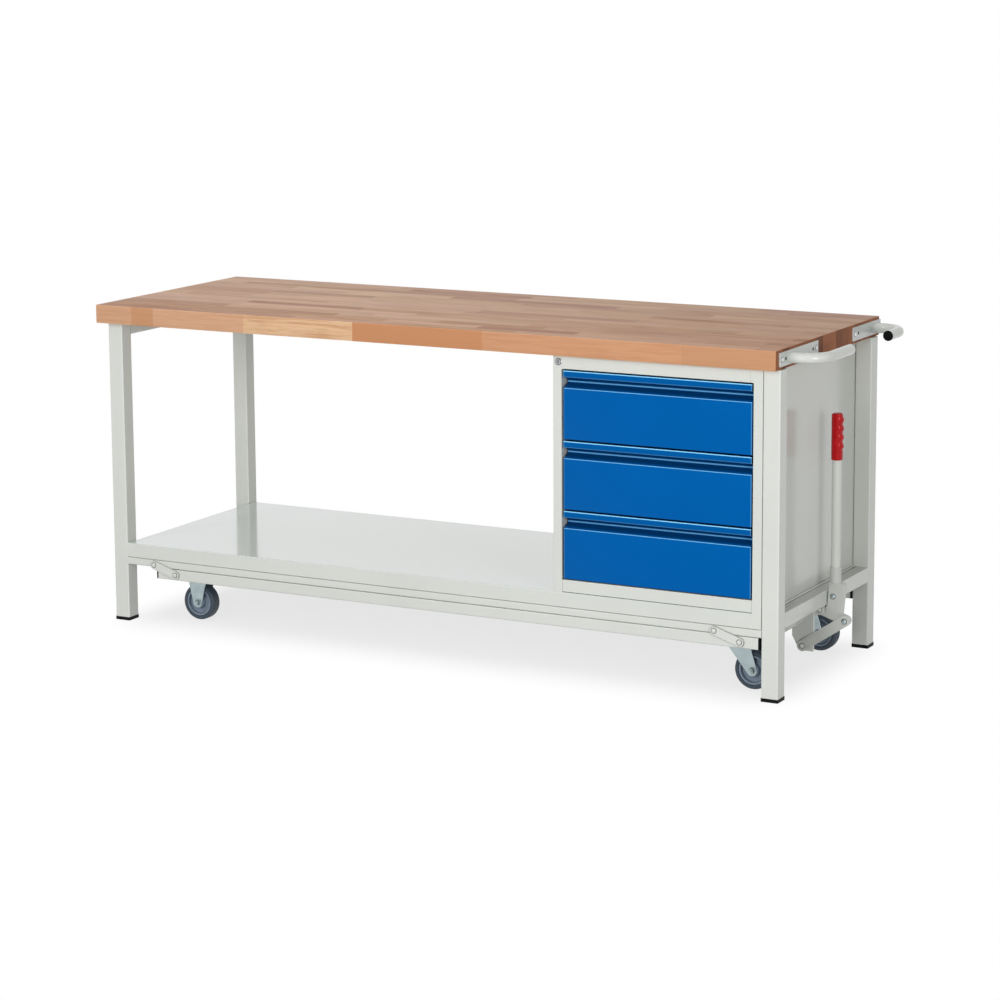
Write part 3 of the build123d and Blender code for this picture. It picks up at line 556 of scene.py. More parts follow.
def beech_wood(wood, low, high):
    """Glued staves: rows across the depth, each with its own breaks, tone and grain."""
    skim = 0.0012
    f = Finish(bpy.data.materials.new("oiled_beech"))
    x, y, z = f.axes()
    across = (y - low.y) / wood.stave_width
    row = across.of("FLOOR")
    lot = f.parts(f.chance(f.vector(row, 3.0, 7.0)))
    length = wood.stave_length * (0.62 + 0.75 * lot[0])
    run = (x - low.x) / length + 9.0 * lot[1]
    own = f.chance(f.vector(run.of("FLOOR"), row, 1.0))
    # grain drawn out along the stave, with a start of its own in each
    grain = f.vectors("ADD", f.stretched(5.5, 95.0, 95.0),
                      f.vectors("MULTIPLY", own, (37.0, 53.0, 71.0)))
    streak = f.noise(grain, 1.0, 4.0, 0.62)
    fleck = f.noise(f.stretched(140.0, 900.0, 900.0), 1.0, 1.0, 0.5)
    face = stave_tone(f, wood, own, grain, streak, fleck)
    # painted shade: the upper side darker towards the right end
    share = (x - low.x) / (high.x - low.x)
    painted_shade_to_right = 0.36 * f.spread(share, 0.30, 1.0) * (z > high.z - skim)
    face = f.mix(painted_shade_to_right, face, (0.20, 0.065, 0.030))
    face = f.mix(y < low.y + skim, face, front_staves(f, share))
    seam = f.spread((across.of("FRACT") - 0.5).of("ABSOLUTE"), 0.488, 0.5)
    face = f.mix(0.35 * seam, face, toned(wood.dark, 0.45))
    sawn, pits = end_grain(f, wood, across, lot, z - low.z)
    ends = (x - (low.x + high.x) / 2).of("ABSOLUTE") > (high.x - low.x) / 2 - skim / 2
    relief = (0.25 * streak - 0.6 * seam - 0.25 * f.spread(fleck, 0.6, 0.72)) * (1.0 - ends)
    return f.shade(
        Base_Color=f.mix(ends, face, sawn),
        Roughness=f.spread(streak, 0.3, 0.75, 0.46, 0.58) + 0.15 * ends,
        Specular_IOR_Level=0.3,
        Normal=f.bump(relief + ends * pits, 0.00012, 0.6))


class Coat(Finish):
    """Baked paint: a fine waviness, slow unevenness in tone, and specks of dust in it."""

    def __init__(self, name, paint, colour):
        super().__init__(bpy.data.materials.new(name))
        self.peel = self.noise(self.place, 1.0 / paint.grain, 2.0, 0.5)
        self.cloud = self.noise(self.place, 3.2, 3.0, 0.55)
        dust_and_shade = self.noise(self.place, 260.0, 2.0, 0.6)
        tint = self.mix(self.spread(self.cloud, 0.3, 0.7), toned(colour, 0.965),
                        toned(colour, 1.02))
        self.tint = self.mix(0.06 * self.spread(dust_and_shade, 0.55, 0.75), tint, toned(colour, 0.6))

    def dull(self, low=0.2, high=0.25):
        """Roughness, a little higher where the tone is paler."""
        return self.spread(self.cloud, 0.3, 0.7, low, high)

    def bake(self, tone, rough=None, relief=None, gloss=GLOSS, **sockets):
        """Ends the coat. gloss is the share of clear coat and its roughness."""
        return self.shade(
            Base_Color=tone, Roughness=rough or self.dull(),
            Normal=self.bump(relief or self.peel, 0.00003, 0.4),
            Coat_Weight=gloss[0], Coat_Roughness=gloss[1], **sockets)


def plain_coat(name, paint, colour, rough=0.2, gloss=GLOSS):
    """Baked paint with no marks of its own."""
    f = Coat(name, paint, colour)
    return f.bake(f.tint, f.dull(rough - 0.02, rough + 0.03), gloss=gloss)


def cabinet_coat(paint, cabinet, opening, base, roof):
    """Grey coat with the shut joints of the cabinet's front frame painted near black: painted
    shade in the gaps, over a shallow groove.

    The joints run over the base, up both its ends, and down the head's right end."""
    past_opening = 0.0035
    f = Coat("cabinet_coat", paint, paint.grey)
    x, y, z = f.axes()
    left, right = opening[0].x - past_opening, opening[1].x + past_opening
    foot = f.band(z, cabinet[0].z + 0.0010, 0.0011) * (x > left) * (x < right)
    ends = (f.band(x, left, 0.0004) + f.band(x, right, 0.0003)) * (z < base)
    lap = f.band(x, opening[1].x - 0.004, 0.0003) * (z > roof)
    # painted shade in the shut joints
    joint = (y < cabinet[0].y + 0.001) * (0.9 * foot + 0.5 * ends + 0.3 * lap)
    return f.bake(f.mix(joint, f.tint, toned(paint.grey, 0.1)), relief=f.peel - joint)


def shelf_coat(paint, shelf):
    """Glossier grey coat, paler and bluer on its upper side as a painted reflection, with painted
    shade in the joint under the shelf's front edge.
    """
    f = Coat("shelf_coat", paint, paint.grey)
    _, y, z = f.axes()
    upper = z > shelf[1].z - 0.0006
    joint = 0.8 * f.band(z, shelf[0].z + 0.0008, 0.0009) * (y < shelf[0].y + 0.001)
    # painted reflection on the upper side, and painted shade in the joint under the front edge
    tone = f.mix(joint, f.mix(upper, f.tint, (0.67, 0.77, 0.75)), toned(paint.grey, 0.2))
    return f.bake(tone, f.dull(0.14, 0.18), gloss=(0.2 + 0.8 * upper, 0.08))


def leg_coat(paint, left, right):
    """Grey coat of the legs, pale along the rounded corners of the tube: a painted highlight, with
    a little wear.
    """
    corner_width = 0.0024
    f = Coat("leg_coat", paint, paint.grey)
    x, y, _ = f.axes()
    half = (left[1].x - left[0].x) / 2
    middle = (left[0].x + right[1].x) / 2
    over = ((x - middle).of("ABSOLUTE") - (right[1].x - half - middle)).of("ABSOLUTE")
    deep = (y.of("ABSOLUTE") + (left[0].y + half)).of("ABSOLUTE")
    corner = (over > half - corner_width) * (deep > half - corner_width)
    # painted highlight along the corners
    return f.bake(f.mix(0.5 * corner, f.tint, paint.edge))


def ledge_coat(paint, low, high):
    """Grey coat of the end rail: painted shade in patches on its upper side, darkest in the groove
    beside the wall.
    """
    f = Coat("ledge_coat", paint, paint.grey)
    x, _, z = f.axes()
    dust_and_shade = f.noise(f.stretched(30.0, 9.0, 30.0), 1.0, 3.0, 0.6)
    upper = z > high.z - 0.0006
    groove = f.band(x, low.x + 0.0045, 0.0027)
    # painted shade on the upper side, in patches
    tone = f.mix(upper * (0.30 + 0.12 * dust_and_shade), f.tint, toned(paint.grey, 0.25))
    # painted shade, darker still, in the groove beside the wall
    return f.bake(f.mix(0.8 * upper * groove, tone, toned(paint.grey, 0.1)))


def drawer_coat(paint, folds, front, next_front):
    """Blue coat with painted highlights on the folds, with a little wear, and painted shade and a
    duller coat deep in the grip channel.

    Heights are counted from the foot of each front, so that one finish serves them all."""
    f = Coat("blue_coat", paint, paint.blue)
    x, y, z = f.axes()
    low, high = front
    pitch, height = low.z - next_front[0].z, high.z - low.z
    up = ((z - low.z) / pitch + 8.0).of("FRACT") * pitch
    face = y < low.y + 0.6 * folds.bend
    outside = (x - (low.x + high.x) / 2).of("ABSOLUTE")
    side = f.band(outside, (high.x - low.x) / 2 - 0.0012, 0.0009)
    crest = f.band(up, height - 0.0011, 0.0009)
    sill = f.band(up, height - folds.drop - 0.0008, 0.0007)
    hem = f.band(up, height - folds.lip + 0.0008, 0.0004)
    foot = f.band(up, 0.0006, 0.0008)
    throat = (y > low.y + 0.015) * f.band(up, height - folds.lip - 0.0135, 0.0016)
    # how far into the grip channel: the painted shade and the duller coat grow with it
    inside = f.spread(y, low.y + 0.003, low.y + 0.010)
    # painted shade deep in the channel, left out at its inner fold
    tone = f.mix(0.74 * inside * (1.0 - throat), f.tint, toned(paint.blue, 0.12))
    # painted highlight on the inner fold of the channel, with a little wear
    tone = f.mix(0.40 * throat, tone, paint.fold_highlight)
    # the lip's face a little darker
    tone = f.mix(0.22 * face * (up > height - folds.lip), tone, (0.0, 0.045, 0.14))
    # painted highlights on the top of the lip, under it, on the panel's top fold and on the side
    # folds, with a little wear
    tone = f.mix(face * (crest + 0.66 * sill + 0.22 * hem + 0.24 * side), tone, paint.fold_highlight)
    # painted shade along the foot of each front
    tone = f.mix(0.7 * face * foot, tone, toned(paint.blue, 0.15))
    return f.bake(tone, f.dull() + 0.5 * inside, gloss=NO_GLOSS,
                  Specular_Tint=(0.02, 0.45, 1.0, 1.0))


def handle_coat(paint, plate_end):
    """Grey coat of the push handles, thinner and mottled on their zinc plates."""
    f = Coat("handle_coat", paint, paint.grey)
    mottle = f.noise(f.place, 220.0, 2.0, 0.6)
    bare = f.mix(f.spread(mottle, 0.3, 0.7), (0.48, 0.505, 0.485), (0.58, 0.605, 0.58))
    return f.bake(f.mix(f.axes()[0] < plate_end, f.tint, bare), gloss=(0.3, 0.12))


def zinc_plate():
    """Bright zinc: pale blue-grey with cloudy patches and fine brushed lines."""
    f = Finish(bpy.data.materials.new("zinc_plate"))
    patch = f.noise(f.place, 55.0, 2.0, 0.5)
    line = f.noise(f.stretched(900.0, 900.0, 40.0), 1.0, 2.0, 0.5)
    return f.shade(
        Base_Color=f.mix(f.spread(patch, 0.3, 0.7), (0.36, 0.43, 0.45), (0.44, 0.52, 0.53)),
        Metallic=0.9, Roughness=f.spread(patch, 0.3, 0.7, 0.26, 0.34),
        Normal=f.bump(line, 0.00002, 0.15))


def bright_steel():
    """Polished plating of the lock and screws, with a faint haze."""
    f = Finish(bpy.data.materials.new("bright_steel"))
    haze = f.noise(f.place, 400.0, 2.0, 0.6)
    return f.shade(
        Base_Color=f.mix(haze, (0.52, 0.53, 0.54), (0.66, 0.67, 0.68)), Metallic=1.0,
        Roughness=f.spread(haze, 0.3, 0.7, 0.12, 0.26))


def moulded(name, colour, roughness, grain=0.0008, depth=0.00004, **constants):
    """Moulded plastic or rubber: fine eroded grain with slight wear in tone."""
    f = Finish(bpy.data.materials.new(name))
    fine = f.noise(f.place, 1.0 / grain, 2.0, 0.6)
    worn = f.noise(f.place, 45.0, 3.0, 0.6)
    tint = f.mix(f.spread(worn, 0.35, 0.75), colour, [1.25 * c + 0.002 for c in colour])
    return f.shade(
        Base_Color=tint,
        Roughness=f.spread(worn, 0.3, 0.75, roughness, roughness + 0.08),
        Normal=f.bump(fine, depth, 0.6), **constants)


# ------------------------------------------------------------------ operators
class Workshop:
    """Makes each finish when a piece first asks for it by name."""

    finishes = {}

    @classmethod
    def finish(cls, name):
        if name not in cls.finishes:
            scene = bpy.context.scene
            paint, wheels = scene.bench_paint, scene.bench_wheels
            makers = {
                "beech": lambda: beech_wood(scene.bench_wood, *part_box("worktop")),
                "light_grey": lambda: plain_coat("grey_coat", paint, paint.grey),
                # dark coat for the links' rounded edges: painted shade
                "worn": lambda: plain_coat("worn_edge", paint, toned(paint.grey, 0.3), 0.3,
                                           NO_GLOSS),
                # pale coat for rounded edges: painted highlight, with a little wear
                "edge": lambda: plain_coat("edge_coat", paint, paint.edge),
                "gear": lambda: plain_coat("gear_coat", paint, toned(paint.grey, 0.85), 0.22),
                "shelf": lambda: shelf_coat(paint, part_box("shelf_pan")),
                "leg": lambda: leg_coat(paint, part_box("leg_front_left"),
                                        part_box("leg_front_right")),
                "ledge": lambda: ledge_coat(paint, *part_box("cross_rail_right")),
                "cabinet": lambda: cabinet_coat(
                    paint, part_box("cabinet_side_left"),
                    (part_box("cabinet_side_left")[1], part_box("cabinet_side_right")[0]),
                    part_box("cabinet_base")[1].z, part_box("cabinet_head")[0].z),
                "handle": lambda: handle_coat(paint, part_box("worktop")[1].x + 0.0045),
                "blue": lambda: drawer_coat(paint, scene.bench_folds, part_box("drawer_front_1"),
                                            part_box("drawer_front_2")),
                "zinc": zinc_plate,
                "chrome": bright_steel,
                # dark coat of the rings under pin and screw heads: painted shade round the heads
                "washer": lambda: moulded("washer", (0.07, 0.07, 0.072), 0.45),
                # also fills the spare holes, the lock's bore and keyway: painted shade there
                "black_plastic": lambda: moulded("black_plastic", (0.002, 0.002, 0.0025), 0.5,
                                                 Specular_IOR_Level=0.1),
                "red_grip": lambda: moulded("red_grip", scene.bench_grip.red, 0.22, 0.004,
                                            0.00001, Specular_Tint=(1.0, 0.12, 0.14, 1.0),
                                            Coat_Weight=0.3, Coat_Roughness=0.06),
                "tyre": lambda: moulded("grey_rubber", wheels.rubber, 0.5),
                "wheel_core": lambda: moulded("wheel_core", wheels.core, 0.38),
            }
            cls.finishes[name] = makers[name]()
        return cls.finishes[name]


class BENCH_OT_metalwork(bpy.types.Operator):
    """Give every CAD node the finish of its slot"""

    bl_idname = "bench.metalwork"
    bl_label = "Metalwork"

    finishes = {
        "shelf_pan": "shelf",
        "leg_front_left": "leg", "leg_front_right": "leg",
        "leg_rear_left": "leg", "leg_rear_right": "leg",
        "cabinet_side_left": "cabinet", "cabinet_side_right": "cabinet",
        "cabinet_head": "cabinet", "cabinet_base": "cabinet",
    }

    def execute(self, context):
        for name, node in frame["nodes"].items():
            node.data.materials.clear()
            node.data.materials.append(Workshop.finish(self.finishes.get(name, SLOTS[name])))
        return {"FINISHED"}


class BENCH_OT_edges(bpy.types.Operator):
    """Round the cut edges of the bars, plates and brackets: painted shade on the links' rounding,
    a painted highlight on most others
    """

    bl_idname = "bench.edges"
    bl_label = "Edges"

    def execute(self, context):
        ease = context.scene.bench_paint.ease
        for end, side in CORNERS:
            # the links' rounded edges dark: painted shade
            eased(f"link_{side}_{end}", 1.3 * ease, "light_grey", "worn")
        eased("cross_rail_right", 1.5 * ease, "ledge", "edge")
        eased("cross_rails_left", ease, "light_grey", "edge")
        for node in ("lever_base", "push_link"):
            eased(node, ease, "gear", "edge")
        for node in ("lever_bracket", "push_bracket"):
            eased(node, 0.5 * ease, "light_grey", "edge")
        for node in ("caster_fixed_front", "caster_fixed_rear", "caster_head_front",
                     "caster_head_rear", "caster_swivel_front", "caster_swivel_rear"):
            eased(node, 0.5 * ease, "zinc", "zinc")
        return {"FINISHED"}


class BENCH_OT_drawers(bpy.types.Operator):
    """Fold the three drawer fronts with their grip channels"""

    bl_idname = "bench.drawers"
    bl_label = "Drawer fronts"

    panel, channel_bend, side_gap = 0.006, 0.0022, 0.0004

    def execute(self, context):
        folds = context.scene.bench_folds
        # the channel's line from the top of the lip to the panel: depth and drop
        channel = np.array([(0.014, 0.0), (0.0, 0.0), (0.0, folds.lip), (0.023, 0.023),
                            (0.026, 0.034), (0.0015, folds.drop - 0.0004)])
        for k in (1, 2, 3):
            low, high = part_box(f"drawer_front_{k}")
            panel = slab(low, (high.x, low.y + self.panel, high.z - folds.drop), folds.bend, 5)
            strip = folded_sheet((low.y, high.z) + channel * (1, -1), self.channel_bend,
                                 folds.sheet, low.x + self.side_gap, high.x - self.side_gap)
            piece(f"drawer_face_{k}", joined([panel, strip]), "blue", f"drawer_front_{k}")
        return {"FINISHED"}


class BENCH_OT_fasteners(bpy.types.Operator):
    """Turn the pivot pins, bolts and screws with domed heads, and the axle nuts"""

    bl_idname = "bench.fasteners"
    bl_label = "Fasteners"

    shank, head, head_height = 0.0040, 0.0063, 0.0040
    collar, collar_height = 0.0062, 0.0035
    screw_shank, screw_head, crown = 0.0025, 0.0062, 0.0026

    def execute(self, context):
        for node in ("frame_pins", "carriage_pins", "lever_bolts"):
            seats = [self.seat(low, high) for low, high in solids(node)]
            piece(f"{node}_turned", joined([self.pin(*seat) for seat in seats]), SLOTS[node],
                  node)
            # a dark ring under each head: painted shade round it
            rings = [self.washer(place, axis) for place, axis, _ in seats]
            extra(f"{node}_shade_washers", joined(rings), BODY_OF[node], "washer")
        spots = [((high[0] - self.crown, *(low + high)[1:] / 2), high[0] - low[0])
                 for low, high in solids("handle_screws")]
        piece("screw_heads", joined([self.screw(*spot) for spot in spots]), "chrome",
              "handle_screws")
        # a dark ring round each screw head: painted shade
        cups = [turned([(0.0071, -0.0001), (0.0071, 0.0002)], place, (1, 0, 0), 32)
                for place, _ in spots]
        extra("screw_shade_rings", joined(cups), "frame", "washer")
        for end, side in CORNERS:
            self.nuts(end, side)
        return {"FINISHED"}

    def dome(self, radius, height):
        """Points (r, h) of a quarter ellipse from the rim to just short of the crown."""
        t = np.radians(np.linspace(0, 86, 7))
        return np.stack([radius * np.cos(t), height * np.sin(t)], -1)

    def seat(self, low, high):
        """The point under a pin's head, the way it faces, and the pin's length.

        A head faces away from the middle of the bench, or to the front."""
        outward = 1.0 if low[1] + high[1] > 0.001 else -1.0
        y = (low if outward < 0 else high)[1] - outward * self.head_height
        place = ((low[0] + high[0]) / 2, y, (low[2] + high[2]) / 2)
        return place, (0, outward, 0), high[1] - low[1]

    def washer(self, place, axis):
        """Dark washer under a pin's head: painted shade round the head."""
        return turned([(0.0076, -0.0001), (0.0076, 0.0005), (0.0073, 0.0008)], place, axis, 32)

    def pin(self, place, axis, length):
        """Pin along Y with a domed head at its outer end and a collar at the other."""
        rim = 0.0006
        tail = self.head_height - length
        head = self.dome(self.head, self.head_height - rim) + (0, rim)
        return turned(np.vstack([
            [(self.shank, tail), (self.collar, tail), (self.collar, tail + self.collar_height),
             (self.shank, tail + self.collar_height), (self.shank, 0.0), (self.head, 0.0)],
            head]), place, axis, 32)

    def screw(self, place, length):
        """Countersunk screw along X whose low crown, with a cup in it, stands over the plate."""
        cup = 0.0024
        head = self.dome(self.screw_head, self.crown)
        top = head[-1, 1]
        return turned(np.vstack([
            [(self.screw_shank, self.crown - length), (self.screw_shank, 0.0),
             (self.screw_head, 0.0)],
            head[head[:, 0] > cup][1:],
            [(cup - 0.0002, top - 0.0002), (cup - 0.0008, top - 0.0016)]]),
            place, (1, 0, 0), 32)

    def nuts(self, end, side):
        """Washer, six-sided nut and thread end on both ends of an axle."""
        washer = [(0.0078, 0.0), (0.0078, 0.0008), (0.0072, 0.0012)]
        thread = [(0.0032, 0.0), (0.0032, 0.0052), (0.0026, 0.0058)]
        nut = [(0.0062, 0.0010), (0.0062, 0.0042), (0.0054, 0.0048)]
        low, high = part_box(f"tyre_{end}_{side}")
        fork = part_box(f"caster_swivel_{side}")
        turnings = []
        for outward, y in ((-1, fork[0].y), (1, fork[1].y)):
            place = ((low.x + high.x) / 2, y - outward * 0.0004, (low.z + high.z) / 2)
            turnings += [turned(profile, place, (0, outward, 0), sides)
                         for profile, sides in ((washer, 32), (thread, 24), (nut, 6))]
        kind = "fixed" if end == "left" else "swivel"
        extra(f"axle_nuts_{end}_{side}", joined(turnings), BODY_OF[f"caster_{kind}_{side}"],
              "zinc")


class BENCH_OT_handles(bpy.types.Operator):
    """Ease the push handles' plates, with a painted highlight on their edges, and fill their spare
    screw holes near black: painted shade
    """

    bl_idname = "bench.handles"
    bl_label = "Push handles"

    def execute(self, context):
        for node in ("push_handle_front", "push_handle_rear"):
            eased(node, 0.6 * context.scene.bench_paint.ease, "handle", "edge")
        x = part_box("worktop")[1].x
        pitch, radius, plate = 0.023, 0.0041, 0.0042
        screws = [(low + high) / 2 for low, high in solids("handle_screws")]
        near, far, back, _ = [centre[1] for centre in screws]
        # near-black plugs in the spare holes: painted shade inside them
        holes = [turned([(radius, 0.0), (radius, plate)], (x, y, screws[0][2]), (1, 0, 0), 24)
                 for y in (near + pitch, far - pitch, back + pitch)]
        extra("spare_holes", joined(holes), "frame", "black_plastic")
        return {"FINISHED"}


class BENCH_OT_closings(bpy.types.Operator):
    """Close the tops of the legs and the slit beside the cabinet, and make the lock"""

    bl_idname = "bench.closings"
    bl_label = "Closings and lock"

    def execute(self, context):
        # a lid in the top of each leg
        wall = 0.0022
        lids = []
        for end, side in CORNERS:
            low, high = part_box(f"leg_{side}_{end}")
            lids.append(slab(low + Vector((wall, wall, high.z - low.z - 0.004)),
                             high - Vector((wall, wall, 0.0001)), 0.001))
        extra("leg_lids", joined(lids), "frame", "light_grey")
        # a strip in the slit between the cabinet and the right rear leg
        low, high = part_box("cabinet_side_right")
        strip = slab((high.x - 0.0018, high.y - 0.001, low.z + 0.001),
                     (high.x - 0.0002, high.y + 0.014, high.z - 0.001), 0.0005)
        extra("slit_strip", strip, "frame", "light_grey")
        # a thin lip where the cabinet's side meets the end rail, in the pale edge coat: a painted
        # highlight
        low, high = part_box("cross_rail_right")
        lip = slab((low.x - 0.0025, low.y + 0.001, high.z - 0.006),
                   (low.x + 0.0013, high.y - 0.001, high.z + 0.0012), 0.0004)
        extra("ledge_lip", lip, "frame", "edge")
        # the closed left end of the shelf, up to the leg
        low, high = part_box("shelf_pan")
        fill = slab((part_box("leg_front_left")[1].x - 0.001, low.y + 0.00005, low.z + 0.0008),
                    (low.x + 0.001, low.y + 0.012, high.z - 0.0005), 0.0001)
        extra("shelf_fill", fill, "frame", "shelf")
        self.lock()
        return {"FINISHED"}

    def lock(self):
        """Ring with a near-black fill deep in its bore, painted shade in the gap round the barrel,
        and a barrel with a near-black keyway, also painted shade.
        """
        low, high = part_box("lock_housing")
        x, z = (low.x + high.x) / 2, (low.z + high.z) / 2
        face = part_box("cabinet_head")[0].y
        rim, back = face - low.y, -0.024
        outer, bore = 0.0100, 0.0080

        def part(*profile, capped=True):
            return turned(profile, (x, face, z), (0, -1, 0), 48, capped)

        piece("lock_ring", part((outer, back), (outer, rim - 0.0008), (0.0092, rim),
                                (0.0086, rim), (bore, rim - 0.0007), (bore, back),
                                (outer, back), capped=False), "chrome", "lock_housing")
        extra("lock_bore_shade", part((bore - 0.0001, -0.002), (bore - 0.0001, rim - 0.0016)),
              "frame", "black_plastic")
        body = BODY_OF["lock_cylinder"]
        extra("lock_plug", part((0.0066, -0.001), (0.0066, rim - 0.0007), (0.0060, rim - 0.0003)),
              body, "chrome")
        # near-black keyway: painted shade in the key slot
        key = slab((x - 0.0009, low.y + 0.0001, z - 0.0036),
                   (x + 0.0009, low.y + 0.002, z + 0.0036), 0.0003)
        extra("keyway", key, body, "black_plastic")


class BENCH_OT_worktop(bpy.types.Operator):
    """Make the glued wooden top with eased edges"""

    bl_idname = "bench.worktop"
    bl_label = "Worktop"

    def execute(self, context):
        mesh = slab(*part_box("worktop"), context.scene.bench_wood.arris, 5)
        piece("worktop_slab", mesh, "beech", "worktop")
        return {"FINISHED"}


class BENCH_OT_wheels(bpy.types.Operator):
    """Turn the tyres and cores of the four casters"""

    bl_idname = "bench.wheels"
    bl_label = "Wheels"

    core_inset = 0.0015

    def execute(self, context):
        wheels = context.scene.bench_wheels
        for end, side in CORNERS:
            core, tyre = f"wheel_{end}_{side}", f"tyre_{end}_{side}"
            low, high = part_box(tyre)
            outer, half = (high.z - low.z) / 2, (high.y - low.y) / 2
            core_low, core_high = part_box(core)
            rim, hub = (core_high.z - core_low.z) / 2, (core_high.y - core_low.y) / 2
            for name, profile, finish, node in (
                    (f"tyre_ring_{end}_{side}", self.tyre(outer, half, rim, wheels.shoulder),
                     "tyre", tyre),
                    (f"wheel_disc_{end}_{side}", self.core(rim, hub, half - self.core_inset),
                     "wheel_core", core)):
                mesh = turned(profile, (low + high) / 2, (0, 1, 0), wheels.segments, False)
                piece(name, mesh, finish, node)
        return {"FINISHED"}

    def tyre(self, outer, half, rim, shoulder):
        """Closed section: from the rim up the wall, over the round shoulder to the tread,
        and the same mirrored."""
        crown = arc((outer - shoulder, half - shoulder), shoulder, 90, 0, 9)
        wall = np.array([(rim, half - 0.003), (rim + 0.0012, half - 0.0008), (rim + 0.003, half),
                         (outer - shoulder - 0.003, half - 0.0004)])
        near = np.concatenate([wall, crown])
        return np.concatenate([near, [(outer, 0.0)], (near * (1, -1))[::-1], near[:1]])

    def core(self, rim, hub, edge):
        """Closed section: from the bore along the hub's face, down to the thin web and up to
        the rim's edge, and the same mirrored."""
        bore, web = 0.0061, 0.0045
        face = np.concatenate([
            [(bore, hub), (0.0140, hub)], arc((0.0152, hub - 0.0015), 0.0015, 90, 0, 4),
            [(0.0172, web + 0.004)], arc((0.0205, web + 0.0034), 0.0034, 180, 270, 5),
            arc((rim - 0.0086, web + 0.003), 0.003, 270, 360, 5),
            [(rim - 0.0050, edge - 0.001)], arc((rim - 0.0040, edge - 0.001), 0.001, 180, 90, 3),
            [(rim - 0.0001, edge)]])
        return np.concatenate([face, (face * (1, -1))[::-1], face[:1]])


class BENCH_OT_lever(bpy.types.Operator):
    """Make the lever's tube and its finger grip"""

    bl_idname = "bench.lever"
    bl_label = "Lever"

    tube_wall = 0.0025
    cap = 0.006
    swell_run = 0.090

    def execute(self, context):
        low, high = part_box("lever_tube")
        radius = (high.y - low.y) / 2
        x, y = low.x + radius, low.y + radius
        bore = radius - self.tube_wall
        profile = [(bore, low.z), (radius, low.z), (radius, high.z - 0.001),
                   (radius - 0.0008, high.z - 0.0002), (bore, high.z)]
        piece("lever_stem", turned(profile, (x, y, 0), (0, 0, 1), 64), "light_grey",
              "lever_tube")
        mesh = self.grip(context.scene.bench_grip, *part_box("lever_grip"), x, y)
        piece("finger_grip", mesh, "red_grip", "lever_grip")
        return {"FINISHED"}

    def grip(self, grip, low, high, x, y):
        """Sleeve of radius R with a dome of the cap's height on it. On the finger side it
        stands out by (reach - R) * swell(z) - hollow * (1 - swell(z)).

        swell repeats (1 - cos) / 2 along z, and fades round the sleeve as cos(t)."""
        radius, reach = (high.y - low.y) / 2, high.x - x
        top = high.z - low.z - self.cap
        t = np.arange(72) * TURN / 72
        z = np.concatenate([[0.0, 0.0008, 0.002], np.linspace(0.004, top, 120)])
        bottom = top - self.swell_run
        phase = np.clip((z - bottom) / self.swell_run, 0, 1) * grip.fingers
        swell = 0.5 - 0.5 * np.cos(TURN * phase)
        push = (reach - radius) * swell - grip.hollow * (1 - swell)
        push = np.where((z > bottom) & (z < top), push, 0.0)
        base = np.full(len(z), radius)
        base[:2] -= (0.0010, 0.0003)
        dome = arc((0, 0), 1.0, 0, 88, 9)
        z = np.concatenate([z, top + self.cap * dome[:, 1]])
        push = np.concatenate([push, np.zeros(9)])
        base = np.concatenate([base, radius * (0.45 + 0.55 * dome[:, 0])])
        along = base[:, None] + push[:, None] * np.clip(np.cos(t), 0, 1)
        return skin(np.stack([x + along * np.cos(t), y + base[:, None] * np.sin(t),
                              np.broadcast_to(low.z + z[:, None], along.shape)], -1))


